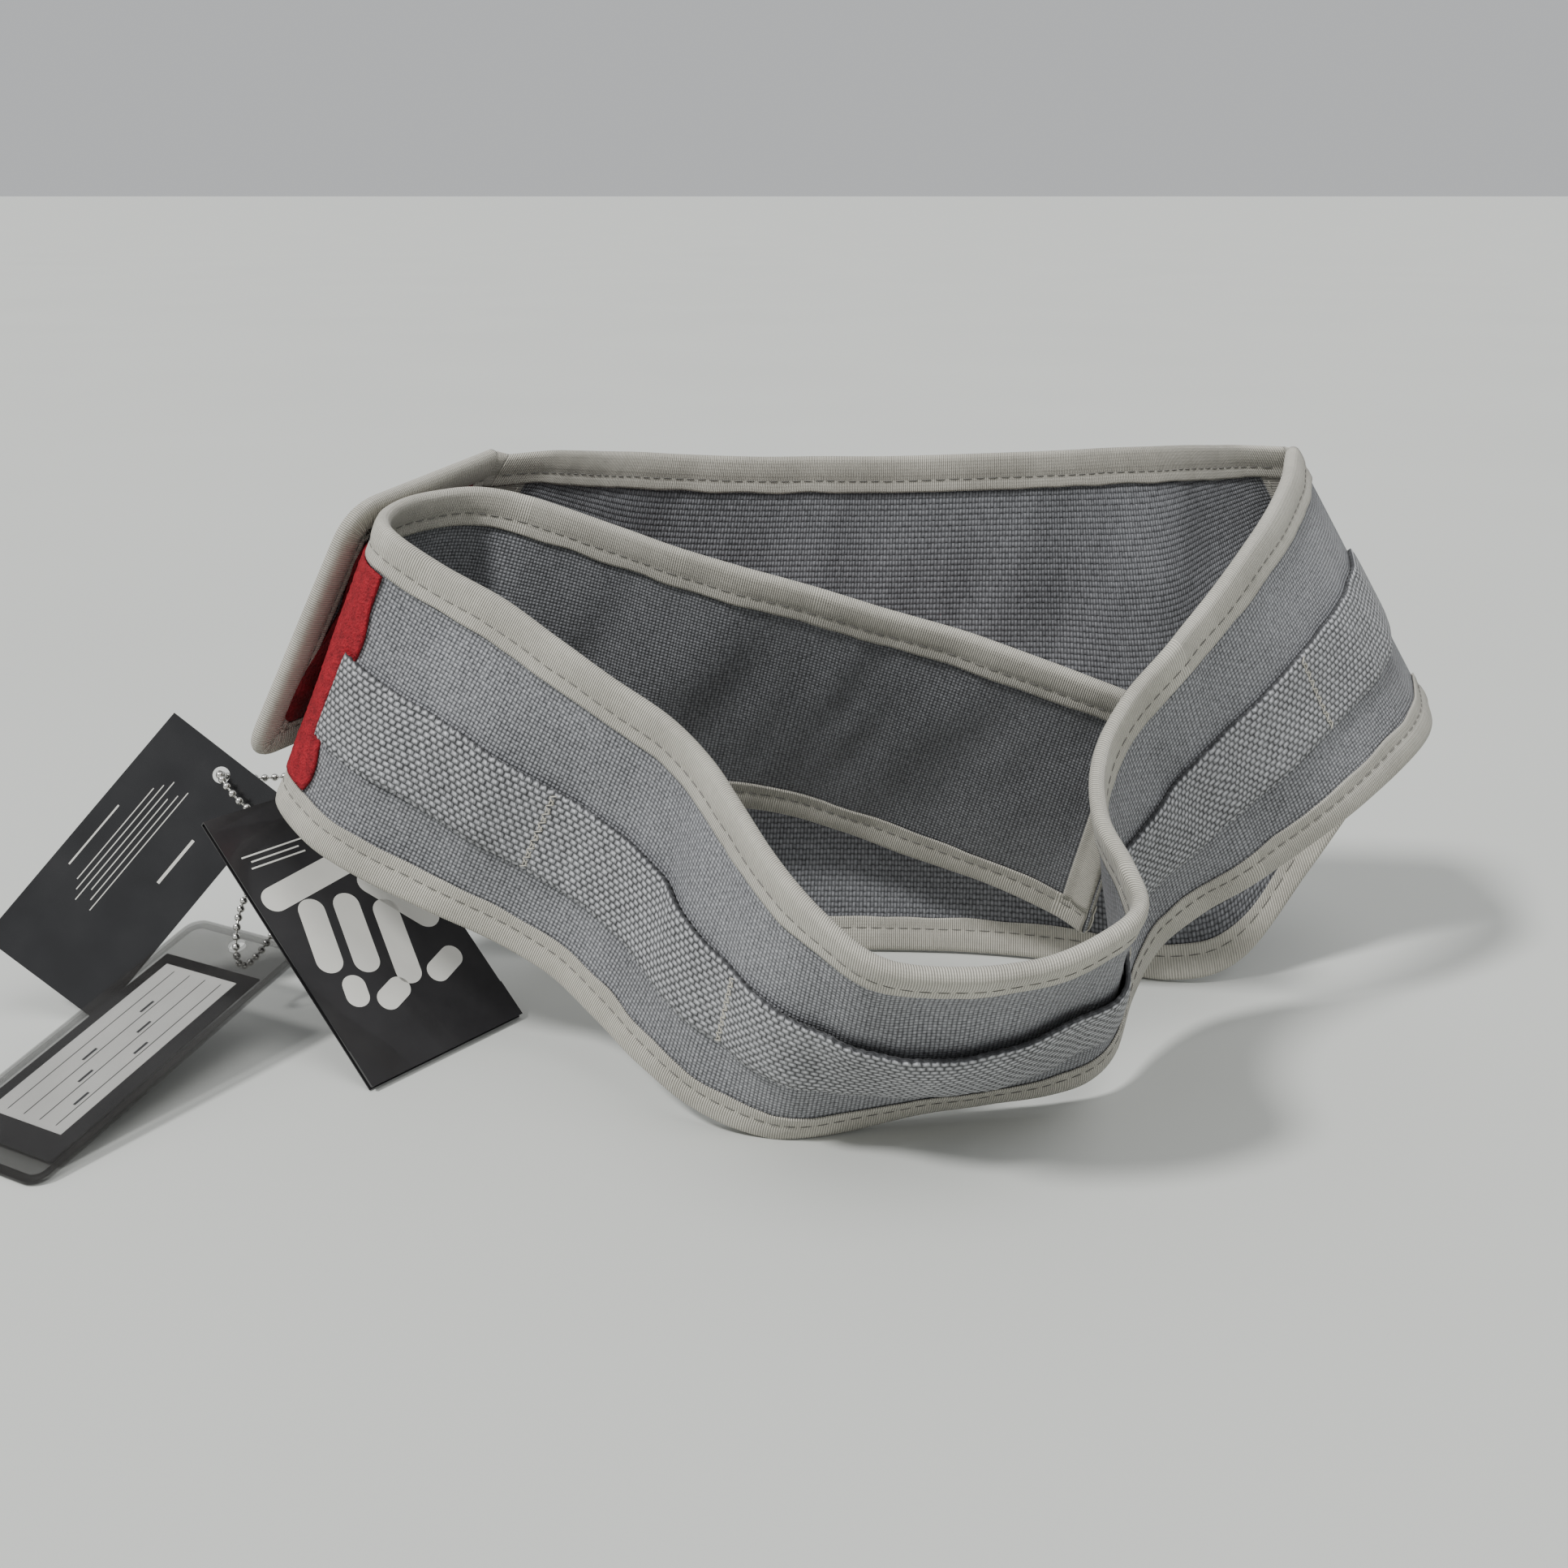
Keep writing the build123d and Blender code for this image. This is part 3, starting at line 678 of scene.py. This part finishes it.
@dataclass
class Band:
    """A stretch of padded band with its plies, bindings, webbing and thread.

    Attributes:
        name: first word of its pieces and CAD nodes.
        surface: its middle surface.
        cloth_end: station where the cloth stops.
        web_end: station where the webbing stops.
        tacks: stations of the bar tacks.
        slack: how far the webbing arches between them, in mm.
    """

    name: str
    surface: Surface
    cloth_end: float
    web_end: float
    tacks: Sequence[float]
    slack: Sequence[float]
    body: str = "band"

    def patch(self, start: float, end: float, columns: int, rows: int,
              row: Callable[[float, float, float], float],
              off: Callable[[float, float], float]) -> Patch:
        """Patch over stations start to end.

        Args:
            start, end: station values.
            columns, rows: grid steps.
            row: gives the row in mm from (share across, station, width).
            off: gives the offset in mm from (share across, station).
        """
        surface = self.surface
        a, b = surface.length_to(start), surface.length_to(end)

        def place(u: float, w: float) -> Vector:
            s = surface.station_at(a + (b - a) * u)
            width = surface.width(s)
            return surface.place(s, row(w, s, width), off(w, s))

        span = row(1, start, surface.width(start)) - row(0, start, surface.width(start))
        return Patch(columns, rows, (b - a, abs(span)), place)

    def arch(self, s: float) -> float:
        """Stand-off of the webbing at station s."""
        stops = (0.0, *self.tacks, self.web_end)
        for a, b, height in zip(stops, stops[1:], self.slack):
            if a <= s <= b:
                t = (s - a) / (b - a)
                return height * 4 * t * (1 - t)
        return 0.0

    def cloth(self) -> tuple[bpy.types.Object, bpy.types.Object]:
        """Outer ply and lining."""
        inset = EDGE_INSET
        columns = int(self.surface.length_to(self.cloth_end) / 2.4)

        def row(w: float, s: float, width: float) -> float:
            return inset + (width - 2 * inset) * w

        outer = cover(f"{self.name}_outer_cloth",
                      self.patch(0, self.cloth_end, columns, 34, row, lambda w, s: HALF),
                      Finish.grey_nylon, self.body, PLY,
                      [f"{self.name}_outer_fabric", f"{self.name}_core"])
        lining = cover(f"{self.name}_lining_cloth",
                       self.patch(0, self.cloth_end, columns, 34, row, lambda w, s: -CORE / 2 - GAP),
                       Finish.dark_lining, self.body, PLY, [f"{self.name}_lining"])
        return outer, lining

    def binding(self, at_bottom: bool) -> bpy.types.Object:
        """Grosgrain folded over one edge, with slightly wavy cut edges."""
        profile = fold_profile()
        if at_bottom:
            profile = list(reversed(profile))
        steps = len(profile) - 1
        surface = self.surface
        columns = int(surface.along[-1] / 1.8)

        def place(u: float, w: float) -> Vector:
            here = surface.along[-1] * u
            s = surface.station_at(here)
            r, off = on_profile(profile, w)
            side = 1.0 if off > 0 else -1.0
            edge = noise.noise(Vector((here * 0.09, side * 7, 3.0 + at_bottom)))
            r += edge * 0.5 * (r / BINDING_WIDTH) ** 3
            lift = noise.noise(Vector((here * 0.3, side * 3, 9.0))) * 0.16 + 0.05
            off += side * lift * (r / BINDING_WIDTH) ** 2
            width = surface.width(s)
            return surface.place(s, width - r if at_bottom else r, off)

        patch = Patch(columns, steps, (surface.along[-1], 24.0), place)
        where = "bottom" if at_bottom else "top"
        return cover(f"{self.name}_{where}_tape", patch, Finish.cream_binding, self.body,
                     0.5, [f"{self.name}_{where}_binding"])

    def seams(self) -> bpy.types.Object:
        """Dashes of thread along both bindings, on both faces."""
        bm = bmesh.new()
        thread = Stitching()
        surface = self.surface
        for off in (BIND_OUT - 0.02, -BIND_OUT + 0.02):
            thread.run(bm, surface, 2.0, surface.along[-1] - 2, lambda s: STITCH_ROW, off)
            thread.run(bm, surface, 2.0, surface.along[-1] - 2, lambda s: surface.width(s) - STITCH_ROW, off)
        # Their dark finish is partly the thread's colour and partly painted groove shade.
        return finish_mesh(f"{self.name}_stitches", bm, Finish.seam_thread, self.body)

    def webbing(self) -> bpy.types.Object:
        """Webbing with plump, scalloped edges."""
        surface = self.surface
        length = surface.length_to(self.web_end)
        start = WEBBING_CENTRE - WEBBING_WIDTH / 2

        def place(u: float, w: float) -> Vector:
            here = length * u
            s = surface.station_at(here)
            side = 2 * w - 1
            scallop = 0.28 * math.sin(here * math.pi / 1.25) * side ** 5
            crown = -0.5 * side ** 6
            return surface.place(s, start + WEBBING_WIDTH * w + scallop,
                                 WEB_LOW + WEBBING_THICKNESS + self.arch(s) + crown)

        patch = Patch(int(length / 0.7), 22, (length, WEBBING_WIDTH), place)
        return cover(f"{self.name}_webbing_belt", patch, Finish.grey_webbing, self.body,
                     WEBBING_THICKNESS - 0.3, [f"{self.name}_webbing"])

    def bar_tacks(self) -> bpy.types.Object:
        """Zigzag thread across the webbing at each tack."""
        bm = bmesh.new()
        thread = Stitching(radius=0.2)
        surface = self.surface
        off = WEB_LOW + WEBBING_THICKNESS + 0.12
        for tack in self.tacks:
            here = surface.length_to(tack)
            for k in range(17):
                row = WEBBING_CENTRE - 11.2 + 22.4 * k / 16
                sway = 1.1 if k % 2 else -1.1
                a = surface.place(surface.station_at(here + sway), row - 0.7, off)
                b = surface.place(surface.station_at(here - sway), row + 0.7, off)
                thread.add(bm, a, b, surface.section(tack)[2])
            for side in (-0.4, 0.4):
                for k in range(8):
                    row = WEBBING_CENTRE - 10.5 + 2.8 * k
                    s = surface.station_at(here + side)
                    thread.add(bm, surface.place(s, row, off - 0.1), surface.place(s, row + 2.2, off - 0.1),
                               surface.section(tack)[2])
        piece = finish_mesh(f"{self.name}_tack_thread", bm, Finish.beige_thread, self.body)
        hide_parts(f"{self.name}_bar_tacks")
        return piece

    def build(self) -> list[bpy.types.Object]:
        """Makes every piece that both bands have."""
        outer, lining = self.cloth()
        extra = [self.binding(False), self.binding(True), self.seams(), self.webbing(), self.bar_tacks()]
        surface = self.surface
        length = surface.along[-1] * MM
        width = max(surface.width(s) for s in range(surface.last + 1)) * MM
        area = surface.cut_area(self.cloth_end, EDGE_INSET)
        declare_cloth(outer, width, length, area, f"{self.name}_core", extra)
        declare_cloth(lining, width, length, area, f"{self.name}_core")
        return extra


@dataclass
class Strap(Band):
    """The long strap, with its loop tape and the binding round its loose end."""

    loop_start: float = 22.0
    loop_end: float = 33.0

    def loop_tape(self) -> bpy.types.Object:
        """Red loop tape with a soft uneven edge."""
        surface = self.surface
        a, b = surface.length_to(self.loop_start) - 2.5, surface.length_to(self.loop_end)

        def place(u: float, w: float) -> Vector:
            row = 11.6 + 64.0 * w
            ragged = noise.noise(Vector((row * 0.05, 2.0, 5.0))) * 5.0 * (1 - u) ** 14
            here = a + (b - a) * u + ragged
            s = surface.station_at(here)
            fuzz = noise.noise(Vector((here * 0.9, row * 0.9, 1.0))) * 0.25
            under = -0.9 if here < surface.length_to(self.loop_start) and 34 < row < 62 else 0.0
            return surface.place(s, row, BIND_IN + 1.2 + fuzz + under)

        patch = Patch(240, 56, (b - a, 64.0), place)
        return cover("strap_loop_pile", patch, Finish.red_loop, self.body, 0.9,
                     ["strap_loop_tape"])

    def tail_binding(self) -> bpy.types.Object:
        """Grosgrain folded round the loose end."""
        surface = self.surface
        end = surface.along[-1]
        profile = list(reversed(fold_profile(9.5)))
        steps = len(profile) - 1

        def place(u: float, w: float) -> Vector:
            r, off = on_profile(profile, w)
            s = surface.station_at(end - r)
            row = BINDING_WIDTH - 1 + (surface.width(s) - 2 * BINDING_WIDTH + 2) * u
            return surface.place(s, row, off * 0.98)

        bm = Patch(30, steps, (64.0, 24.0), place).mesh()
        bmesh.ops.recalc_face_normals(bm, faces=bm.faces)
        piece = finish_mesh("tail_tape", bm, Finish.cream_binding, self.body)
        thicken(piece, 0.5, 0.0)
        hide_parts("tail_end_binding")
        return piece


@dataclass
class SeamTapes:
    """Tapes that cover the two seams inside the back panel."""

    surface: Surface
    width: float = 11.0

    def build(self) -> None:
        """Makes both tapes and their two rows of thread."""
        surface = self.surface
        for name, start in (("left_seam", 0.0), ("right_seam", surface.along[-1] - self.width)):
            self.tape(name, start)

    def tape(self, name: str, start: float) -> None:
        """Makes one tape from a length along the panel."""
        surface = self.surface
        off = -BIND_IN - 0.1

        def place(u: float, w: float) -> Vector:
            s = surface.station_at(start + self.width * w)
            return surface.place(s, 9.5 + (surface.width(s) - 19.0) * u, off)

        bm = Patch(60, 8, (84.0, self.width), place).mesh()
        piece = finish_mesh(f"{name}_ribbon", bm, Finish.seam_tape, "band")
        thicken(piece, 0.5, 0.0)
        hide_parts(f"{name}_tape")
        bm = bmesh.new()
        thread = Stitching(dash=2.2)
        for side in (1.6, self.width - 1.6):
            s = surface.station_at(start + side)
            for k in range(17):
                row = 12.0 + 4.0 * k
                thread.add(bm, surface.place(s, row, off - 0.5), surface.place(s, row + 2.4, off - 0.5),
                           surface.section(s)[2] * -1)
        finish_mesh(f"{name}_thread", bm, Finish.beige_thread, "band")


@dataclass
class Flap:
    """The closing flap: flat, with one binding round its free edges and hooks inside.

    Attributes:
        seam_top, seam_bottom: ends of the seam.
        tip_middle: middle of the free end.
        corners: outline, away from the seam and down along it.
        radius: of the two free corners.
    """

    seam_top: tuple = (-84, 80, 158)
    seam_bottom: tuple = (-131, 63, 80)
    tip_middle: tuple = (-134, 28.5, 114.5)
    corners: tuple = ((1.4, 0.6), (50, 32), (36, 110), (1.4, 92.0))
    radius: float = 11.0
    body: str = "flap"

    def __post_init__(self) -> None:
        self.origin = at(*self.seam_top)
        self.down = (at(*self.seam_bottom) - self.origin).normalized()
        middle = (at(*self.seam_top) + at(*self.seam_bottom)) / 2
        away = at(*self.tip_middle) - middle
        self.away = (away - self.down * away.dot(self.down)).normalized()
        self.out = self.down.cross(self.away).normalized()

    def point(self, x: float, y: float, off: float) -> Vector:
        """Point x mm from the seam, y mm down along it and off mm outside, in metres."""
        return (self.origin + self.away * x + self.down * y + self.out * off) * MM

    def outline(self) -> list[Vector]:
        """Edge points from the seam's top, round the tip, to the seam's bottom."""
        a, b, c, d = (Vector(p) for p in self.corners)
        path = [a.lerp(b, k / 12) for k in range(10)]
        for before, corner, after in ((a, b, c), (b, c, d)):
            into, leave = (before - corner).normalized(), (after - corner).normalized()
            for k in range(9):
                t = k / 8
                near, far = corner + into * self.radius, corner + leave * self.radius
                path.append(near.lerp(corner, t).lerp(corner.lerp(far, t), t))
            if corner is b:
                path += [b.lerp(c, 0.16 + 0.68 * k / 12) for k in range(1, 12)]
        path += [c.lerp(d, k / 12) for k in range(4, 13)]
        return path

    def drawn_in(self, inset: float) -> list[Vector]:
        """The outline, drawn in by an inset."""
        middle = Vector((22.0, 58.0))
        return [p + (middle - p).normalized() * inset for p in self.outline()]

    def cut_area(self, inset: float) -> float:
        """Area in square metres inside the drawn-in outline."""
        points = self.drawn_in(inset)
        pairs = zip(points, points[1:] + points[:1])
        return abs(sum(a.x * b.y - b.x * a.y for a, b in pairs)) / 2 * MM * MM

    def sheet(self, name: str, low: float, thick: float, inset: float, finish: Finish,
              nodes: Sequence[str]) -> bpy.types.Object:
        """Makes one flat ply whose outline is the flap's, drawn in by an inset."""
        bm = bmesh.new()
        points = self.drawn_in(inset)
        verts = [bm.verts.new(self.point(p.x, p.y, low)) for p in points]
        face = bm.faces.new(verts)
        face.normal_update()
        if face.normal.dot(self.out) < 0:
            face.normal_flip()
        layer = bm.loops.layers.uv.new("cloth")
        for loop, p in zip(face.loops, points if loop_starts(face, verts) else reversed(points)):
            loop[layer].uv = (p.x, p.y)
        piece = finish_mesh(name, bm, finish, self.body)
        thicken(piece, thick)
        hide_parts(*nodes)
        return piece

    def binding(self) -> bpy.types.Object:
        """Grosgrain folded round the free edges, turning with the corners."""
        path = self.outline()
        lengths = [0.0]
        for p, q in zip(path, path[1:]):
            lengths.append(lengths[-1] + (q - p).length)
        profile = fold_profile(9.5)
        steps = len(profile) - 1
        middle = Vector((20.0, 58.0))

        def edge(here: float) -> tuple[Vector, Vector]:
            for k in range(len(path) - 1):
                if here <= lengths[k + 1] or k == len(path) - 2:
                    t = (here - lengths[k]) / (lengths[k + 1] - lengths[k])
                    p = path[k].lerp(path[k + 1], t)
                    back = path[max(k - 2, 0)]
                    front = path[min(k + 3, len(path) - 1)]
                    run = (front - back).normalized()
                    inward = Vector((-run.y, run.x))
                    if inward.dot(middle - p) < 0:
                        inward = -inward
                    return p, inward
            return path[-1], Vector((0, -1))

        def place(u: float, w: float) -> Vector:
            p, inward = edge(lengths[-1] * u)
            r, off = on_profile(profile, w)
            spot = p + inward * r
            return self.point(spot.x, spot.y, off)

        bm = Patch(150, steps, (lengths[-1], 22.0), place).mesh()
        bmesh.ops.recalc_face_normals(bm, faces=bm.faces)
        piece = finish_mesh("flap_tape", bm, Finish.cream_binding, self.body)
        thicken(piece, 0.4, 0.0)
        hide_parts("flap_binding")
        bm = bmesh.new()
        thread = Stitching()
        for side in (1, -1):
            for k in range(int(lengths[-1] / 4.0)):
                ends = []
                for here in (4.0 * k + 0.4, 4.0 * k + 3.0):
                    p, inward = edge(min(here, lengths[-1]))
                    spot = p + inward * STITCH_ROW
                    ends.append(self.point(spot.x, spot.y, side * (BIND_OUT + 0.05)))
                thread.add(bm, ends[0], ends[1], self.out * side)
        # Their dark finish is partly the thread's colour and partly painted groove shade.
        finish_mesh("flap_stitches", bm, Finish.seam_thread, self.body)
        return piece

    def webbing(self) -> None:
        """Short stretch of webbing on the outside, bowed off the cloth, with its tack."""
        def place(u: float, w: float) -> Vector:
            x = 2.0 + 31.0 * u
            y = WEBBING_CENTRE - 12.5 + 28.0 * w + FLAP_SLOPE * x
            bow = 0.9 * math.sin(math.pi * u)
            return self.point(x, y, HALF + 0.3 + WEBBING_THICKNESS + bow)

        bm = Patch(60, 24, (36.0, 25.0), place).mesh()
        bmesh.ops.recalc_face_normals(bm, faces=bm.faces)
        for face in bm.faces:
            if face.normal.dot(self.out) < 0:
                face.normal_flip()
        piece = finish_mesh("flap_webbing_belt", bm, Finish.grey_webbing, self.body)
        thicken(piece, WEBBING_THICKNESS - 0.2)
        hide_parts("flap_webbing")
        bm = bmesh.new()
        thread = Stitching(radius=0.2)
        for k in range(15):
            y = WEBBING_CENTRE - 11.0 + 26.0 * k / 14
            sway = 1.0 if k % 2 else -1.0
            off = HALF + 0.3 + WEBBING_THICKNESS + 0.5
            a = self.point(29 + sway, y - 0.8 + FLAP_SLOPE * 29, off)
            b = self.point(29 - sway, y + 0.8 + FLAP_SLOPE * 29, off)
            thread.add(bm, a, b, self.out)
        tack = finish_mesh("flap_tack_thread", bm, Finish.beige_thread, self.body)
        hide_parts("flap_bar_tack")

    def seam_side(self, row: float, off: float, low: bool) -> Vector:
        """Point beside the seam, as a corner asks for it."""
        high, end = self.corners[0][1], self.corners[3][1]
        if row < 0:
            return self.point(self.corners[0][0], high + (end - high) * -row, off)
        return self.point(self.corners[0][0], end - row if low else high + row, off)

    def build(self) -> None:
        """Makes the flap's plies, hooks, binding and webbing."""
        outer = self.sheet("flap_outer_cloth", HALF, PLY, 1.2, Finish.grey_nylon,
                           ["flap_outer_fabric", "flap_core"])
        lining = self.sheet("flap_lining_cloth", -CORE / 2 - GAP, PLY, 1.2, Finish.dark_lining,
                            ["flap_lining"])
        hooks = self.sheet("flap_hook_pile", -BIND_IN, 1.0, 12.0, Finish.red_hook,
                           ["flap_hook_tape"])
        binding = self.binding()
        area = self.cut_area(1.2)
        declare_cloth(outer, *FLAP_CUT, area, "flap_core", [binding, hooks])
        declare_cloth(lining, *FLAP_CUT, area, "flap_core")
        self.webbing()


@dataclass
class Corner:
    """Pieces that carry cloth and bindings round a seam, from one band's end to the next one's start.

    Attributes:
        name: first word of its pieces.
        near: gives a point on the first side from (share across, rows in, offset, at bottom).
        far: the same for the second side.
        body: what carries it, unless a hinge is given.
        hinge: two bodies and two points, which are not used. When it is given, the pieces ride on no body.
    """

    name: str
    near: Callable[[float, float, bool], Vector]
    far: Callable[[float, float, bool], Vector]
    body: str = "band"
    hinge: tuple | None = None

    def bridge(self, part: str, steps: int, spot: Callable[[float], tuple[float, float, bool]],
               finish: Finish, size: tuple[float, float]) -> None:
        """Makes one strip across the corner; spot gives what near and far take."""
        def place(u: float, w: float) -> Vector:
            row, off, low = spot(w)
            return self.near(row, off, low).lerp(self.far(row, off, low), u)

        bm = Patch(6, steps, size, place).mesh()
        piece = finish_mesh(f"{self.name}_{part}", bm, finish, "" if self.hinge else self.body)
        thicken(piece, 0.4)
        if self.hinge:
            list(self.hinge)
            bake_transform(piece)

    def build(self) -> None:
        """Makes the cloth, lining and both bindings."""
        profile = fold_profile()

        def along(w: float, low: bool) -> tuple[float, float, bool]:
            return (*on_profile(list(reversed(profile)) if low else profile, w), low)

        for part, low in (("top_corner", False), ("bottom_corner", True)):
            self.bridge(part, len(profile) - 1, lambda w, low=low: along(w, low), Finish.cream_binding,
                        (6.0, 24.0))
        self.bridge("outer_corner", 30, lambda w: (-0.02 - 0.96 * w, HALF + 0.05, False), Finish.grey_nylon,
                    (6.0, 80.0))
        self.bridge("inner_corner", 30, lambda w: (-0.98 + 0.96 * w, -HALF, False), Finish.dark_lining,
                    (6.0, 80.0))


def on_band(surface: Surface, length: float) -> Callable[[float, float, bool], Vector]:
    """Places across a band at a length along it: rows below zero are shares of its width."""
    s = surface.station_at(length)

    def place(row: float, off: float, low: bool) -> Vector:
        width = surface.width(s)
        if row < 0:
            return surface.place(s, -row * width, off)
        return surface.place(s, width - row if low else row, off)
    return place


def loop_starts(face: bmesh.types.BMFace, verts: Sequence[bmesh.types.BMVert]) -> bool:
    """Whether a face's corners still run in the order of its vertices."""
    first = list(face.verts)
    return first[1] is verts[1]


def tag_axes(along: Sequence[float], up: Sequence[float]) -> tuple[Vector, Vector]:
    """A tag's two directions, of unit length and square to each other."""
    x, y = Vector(along), Vector(up)
    x.normalize()
    return x, (y - x * y.dot(x)).normalized()


@dataclass
class Tags:
    """Card, leaflet and sleeve: CAD sheets with finishes, and printed shapes laid on them."""

    leaflet_corner: tuple = (-112, -16, 0.0)
    leaflet_across: tuple = (0.622, 0.783, 0)
    leaflet_up: tuple = (-0.578, 0.456, 0.678)
    sleeve_corner: tuple = (-182, -64, 0.1)
    sleeve_along: tuple = (0.458, 0.856, 0.24)
    sleeve_across: tuple = (-0.882, 0.472, 0)

    @staticmethod
    def bars(corner: Vector, x: Vector, y: Vector, lift: float,
             shapes: Sequence[tuple[float, float, float, float, float]]) -> bmesh.types.BMesh:
        """Rounded bars printed on a plane.

        Args:
            corner: the plane's origin, in mm.
            x, y: its directions.
            lift: how far above it the print lies, in mm.
            shapes: centre x and y, length, width and turn in degrees of each bar.
        """
        normal = x.cross(y).normalized()
        y = normal.cross(x)
        frame_matrix = Matrix((x, y, normal)).transposed().to_4x4()
        base = Matrix.Translation((corner + normal * lift) * MM) @ frame_matrix
        bm = bmesh.new()
        for cx, cy, length, width, turn in shapes:
            spin = Matrix.Rotation(math.radians(turn), 4, "Z")
            spot = base @ Matrix.Translation(Vector((cx, cy, 0)) * MM) @ spin
            made = bmesh.ops.create_grid(bm, x_segments=1, y_segments=1, size=0.5)
            bmesh.ops.scale(bm, verts=made["verts"], vec=Vector((length, width, 1)) * MM)
            verts = made["verts"]
            if width > 2.0:
                verts = bmesh.ops.bevel(bm, geom=verts, offset=min(length, width) * 0.49 * MM, segments=7,
                                        profile=0.5, affect="VERTICES", material=-1)["verts"]
            bmesh.ops.transform(bm, matrix=spot, verts=verts)
        return bm

    def leaflet_print(self) -> None:
        """Pale rounded bars on the leaflet's dark face, and three short pale lines."""
        corner = at(*self.leaflet_corner)
        x, y = tag_axes(self.leaflet_across, self.leaflet_up)
        shapes = [(20, 63, 36, 8, 8), (41, 48, 27, 8.5, -58), (12, 46, 24, 8, 76), (22.5, 43, 26, 8, 76),
                  (32.5, 36, 28, 8, 76), (42, 24, 14, 7, 20), (22, 22, 12, 7, 20), (12, 27, 10, 7, 76)]
        print_on("leaflet_bars", self.bars(corner, x, y, 1.94, shapes), Finish.print_white, "leaflet")
        lines = [(14, 76, 20, 0.5, 0), (14, 74, 16, 0.5, 0), (14, 72, 18, 0.5, 0)]
        print_on("leaflet_lines", self.bars(corner, x, y, 1.94, lines), Finish.print_white, "leaflet")

    def sleeve_print(self) -> None:
        """Ruled lines and short bars on the label."""
        corner = at(*self.sleeve_corner)
        x, y = tag_axes(self.sleeve_along, self.sleeve_across)
        lines = [(48, 13 + 6 * k, 60, 0.3, 0) for k in range(4)]
        words = [(28 + 7 * k, 14.6 + 6 * (k % 3), 5, 0.9, 0) for k in range(6)]
        print_on("label_lines", self.bars(corner, x, y, 1.09, lines + words), Finish.label_ink, "sleeve")

    def card_print(self) -> None:
        """Fine pale lines on the black card, in place of its small print."""
        corner = at(-201, 24, 0.4)
        x, y = tag_axes((0.615, 0.366, 0.697), (-0.771, 0.104, 0.627))
        normal = x.cross(y)
        side = 0.5 if normal.dot(Vector((0, -1, 0.3))) > 0 else -0.05
        lines = [(46, 22 + 1.7 * k, 44 - 5 * (k % 3), 0.28, 0) for k in range(6)]
        lines += [(50, 12, 16, 0.9, 0), (42, 35, 22, 0.5, 0)]
        print_on("card_lines", self.bars(corner, x, y, side, lines), Finish.print_white, "black_card")

    def build(self) -> None:
        """Prints on every tag."""
        self.leaflet_print()
        self.sleeve_print()
        self.card_print()


def dress_nodes() -> None:
    """Gives every CAD node that stays its finish."""
    slots = {row["node"]: row["material_slot"] for row in frame["record"]["subparts"]}
    for name, node in frame["nodes"].items():
        if slots[name] in Finish.__members__:
            node.data.materials.clear()
            node.data.materials.append(Finish[slots[name]].material)


@dataclass
class Studio:
    """Camera, floor and soft lights."""

    eye: tuple[float, float, float] = (0, -420, 231)
    tilt: float = 19.467
    lens: float = 38.87

    def build(self) -> None:
        """Makes the whole set-up."""
        camera = bpy.data.objects.new("camera", bpy.data.cameras.new("camera"))
        camera.data.sensor_width = 36.0
        camera.data.lens = self.lens
        camera.location = at(*self.eye) * MM
        camera.rotation_euler = (math.radians(90 - self.tilt), 0, 0)
        camera.data.clip_start = 0.01
        bpy.context.scene.collection.objects.link(camera)
        bpy.context.scene.camera = camera
        self.floor()
        self.light("key", (-0.75, -0.5, 1.2), 0.16, 3.1)
        self.light("top", (0.35, -0.35, 1.3), 0.6, 1.0)
        world = bpy.data.worlds.new("studio")
        world.use_nodes = True
        world.node_tree.nodes["Background"].inputs["Color"].default_value = (0.94, 0.96, 0.98, 1)
        world.node_tree.nodes["Background"].inputs["Strength"].default_value = 0.58
        bpy.context.scene.world = world

    def floor(self) -> None:
        """A wide, flat, pale floor."""
        bm = bmesh.new()
        bmesh.ops.create_grid(bm, x_segments=1, y_segments=1, size=40.0)
        mesh = bpy.data.meshes.new("floor")
        bm.to_mesh(mesh)
        bm.free()
        floor = bpy.data.objects.new("floor", mesh)
        bpy.context.scene.collection.objects.link(floor)
        mesh.materials.append(Smooth("floor", (0.56, 0.57, 0.54), 0.6, wear=0.02, scale=3.0).build())

    @staticmethod
    def light(name: str, place: tuple[float, float, float], spread: float, strength: float) -> None:
        """Adds a broad soft light that comes from a place and faces the set."""
        data = bpy.data.lights.new(name, "SUN")
        data.angle = spread
        data.energy = strength
        lamp = bpy.data.objects.new(name, data)
        lamp.location = place
        aim = Vector((0, 0, 0.05)) - Vector(place)
        lamp.rotation_euler = aim.to_track_quat("-Z", "Y").to_euler()
        bpy.context.scene.collection.objects.link(lamp)


def main() -> None:
    """Builds the scene."""
    logging.basicConfig(level=logging.INFO)
    Studio().build()
    dress_nodes()
    strap_surface = Surface(STRAP, ruffle=3.4, seed=4.0, dents=((11, 22, 17, 3.0), (29, 40, 26, 2.0)))
    back_surface = Surface(BACK, bow=5.0, ruffle=4.2, seed=11.0)
    strap = Strap("strap", strap_surface, 35.5, 22.0, (2, 7, 14, 18), (0.3, 0.5, 2.6, 1.0, 0.3))
    strap.build()
    strap.loop_tape()
    strap.tail_binding()
    back = Band("back", back_surface, back_surface.last, back_surface.last, (3, 7, 11, 15),
                (3.0, 1.0, 1.0, 1.0, 0.3))
    back.build()
    SeamTapes(back_surface).build()
    flap = Flap()
    flap.build()
    Corner("right", on_band(back_surface, back_surface.along[-1] - 1.0), on_band(strap_surface, 1.0)).build()
    Corner("left", flap.seam_side, on_band(back_surface, 1.2),
           hinge=("flap", "band", flap.point(1.4, 46, 0), on_band(back_surface, 1.2)(46, 0, False))).build()
    Tags().build()


if __name__ == "__main__":
    main()
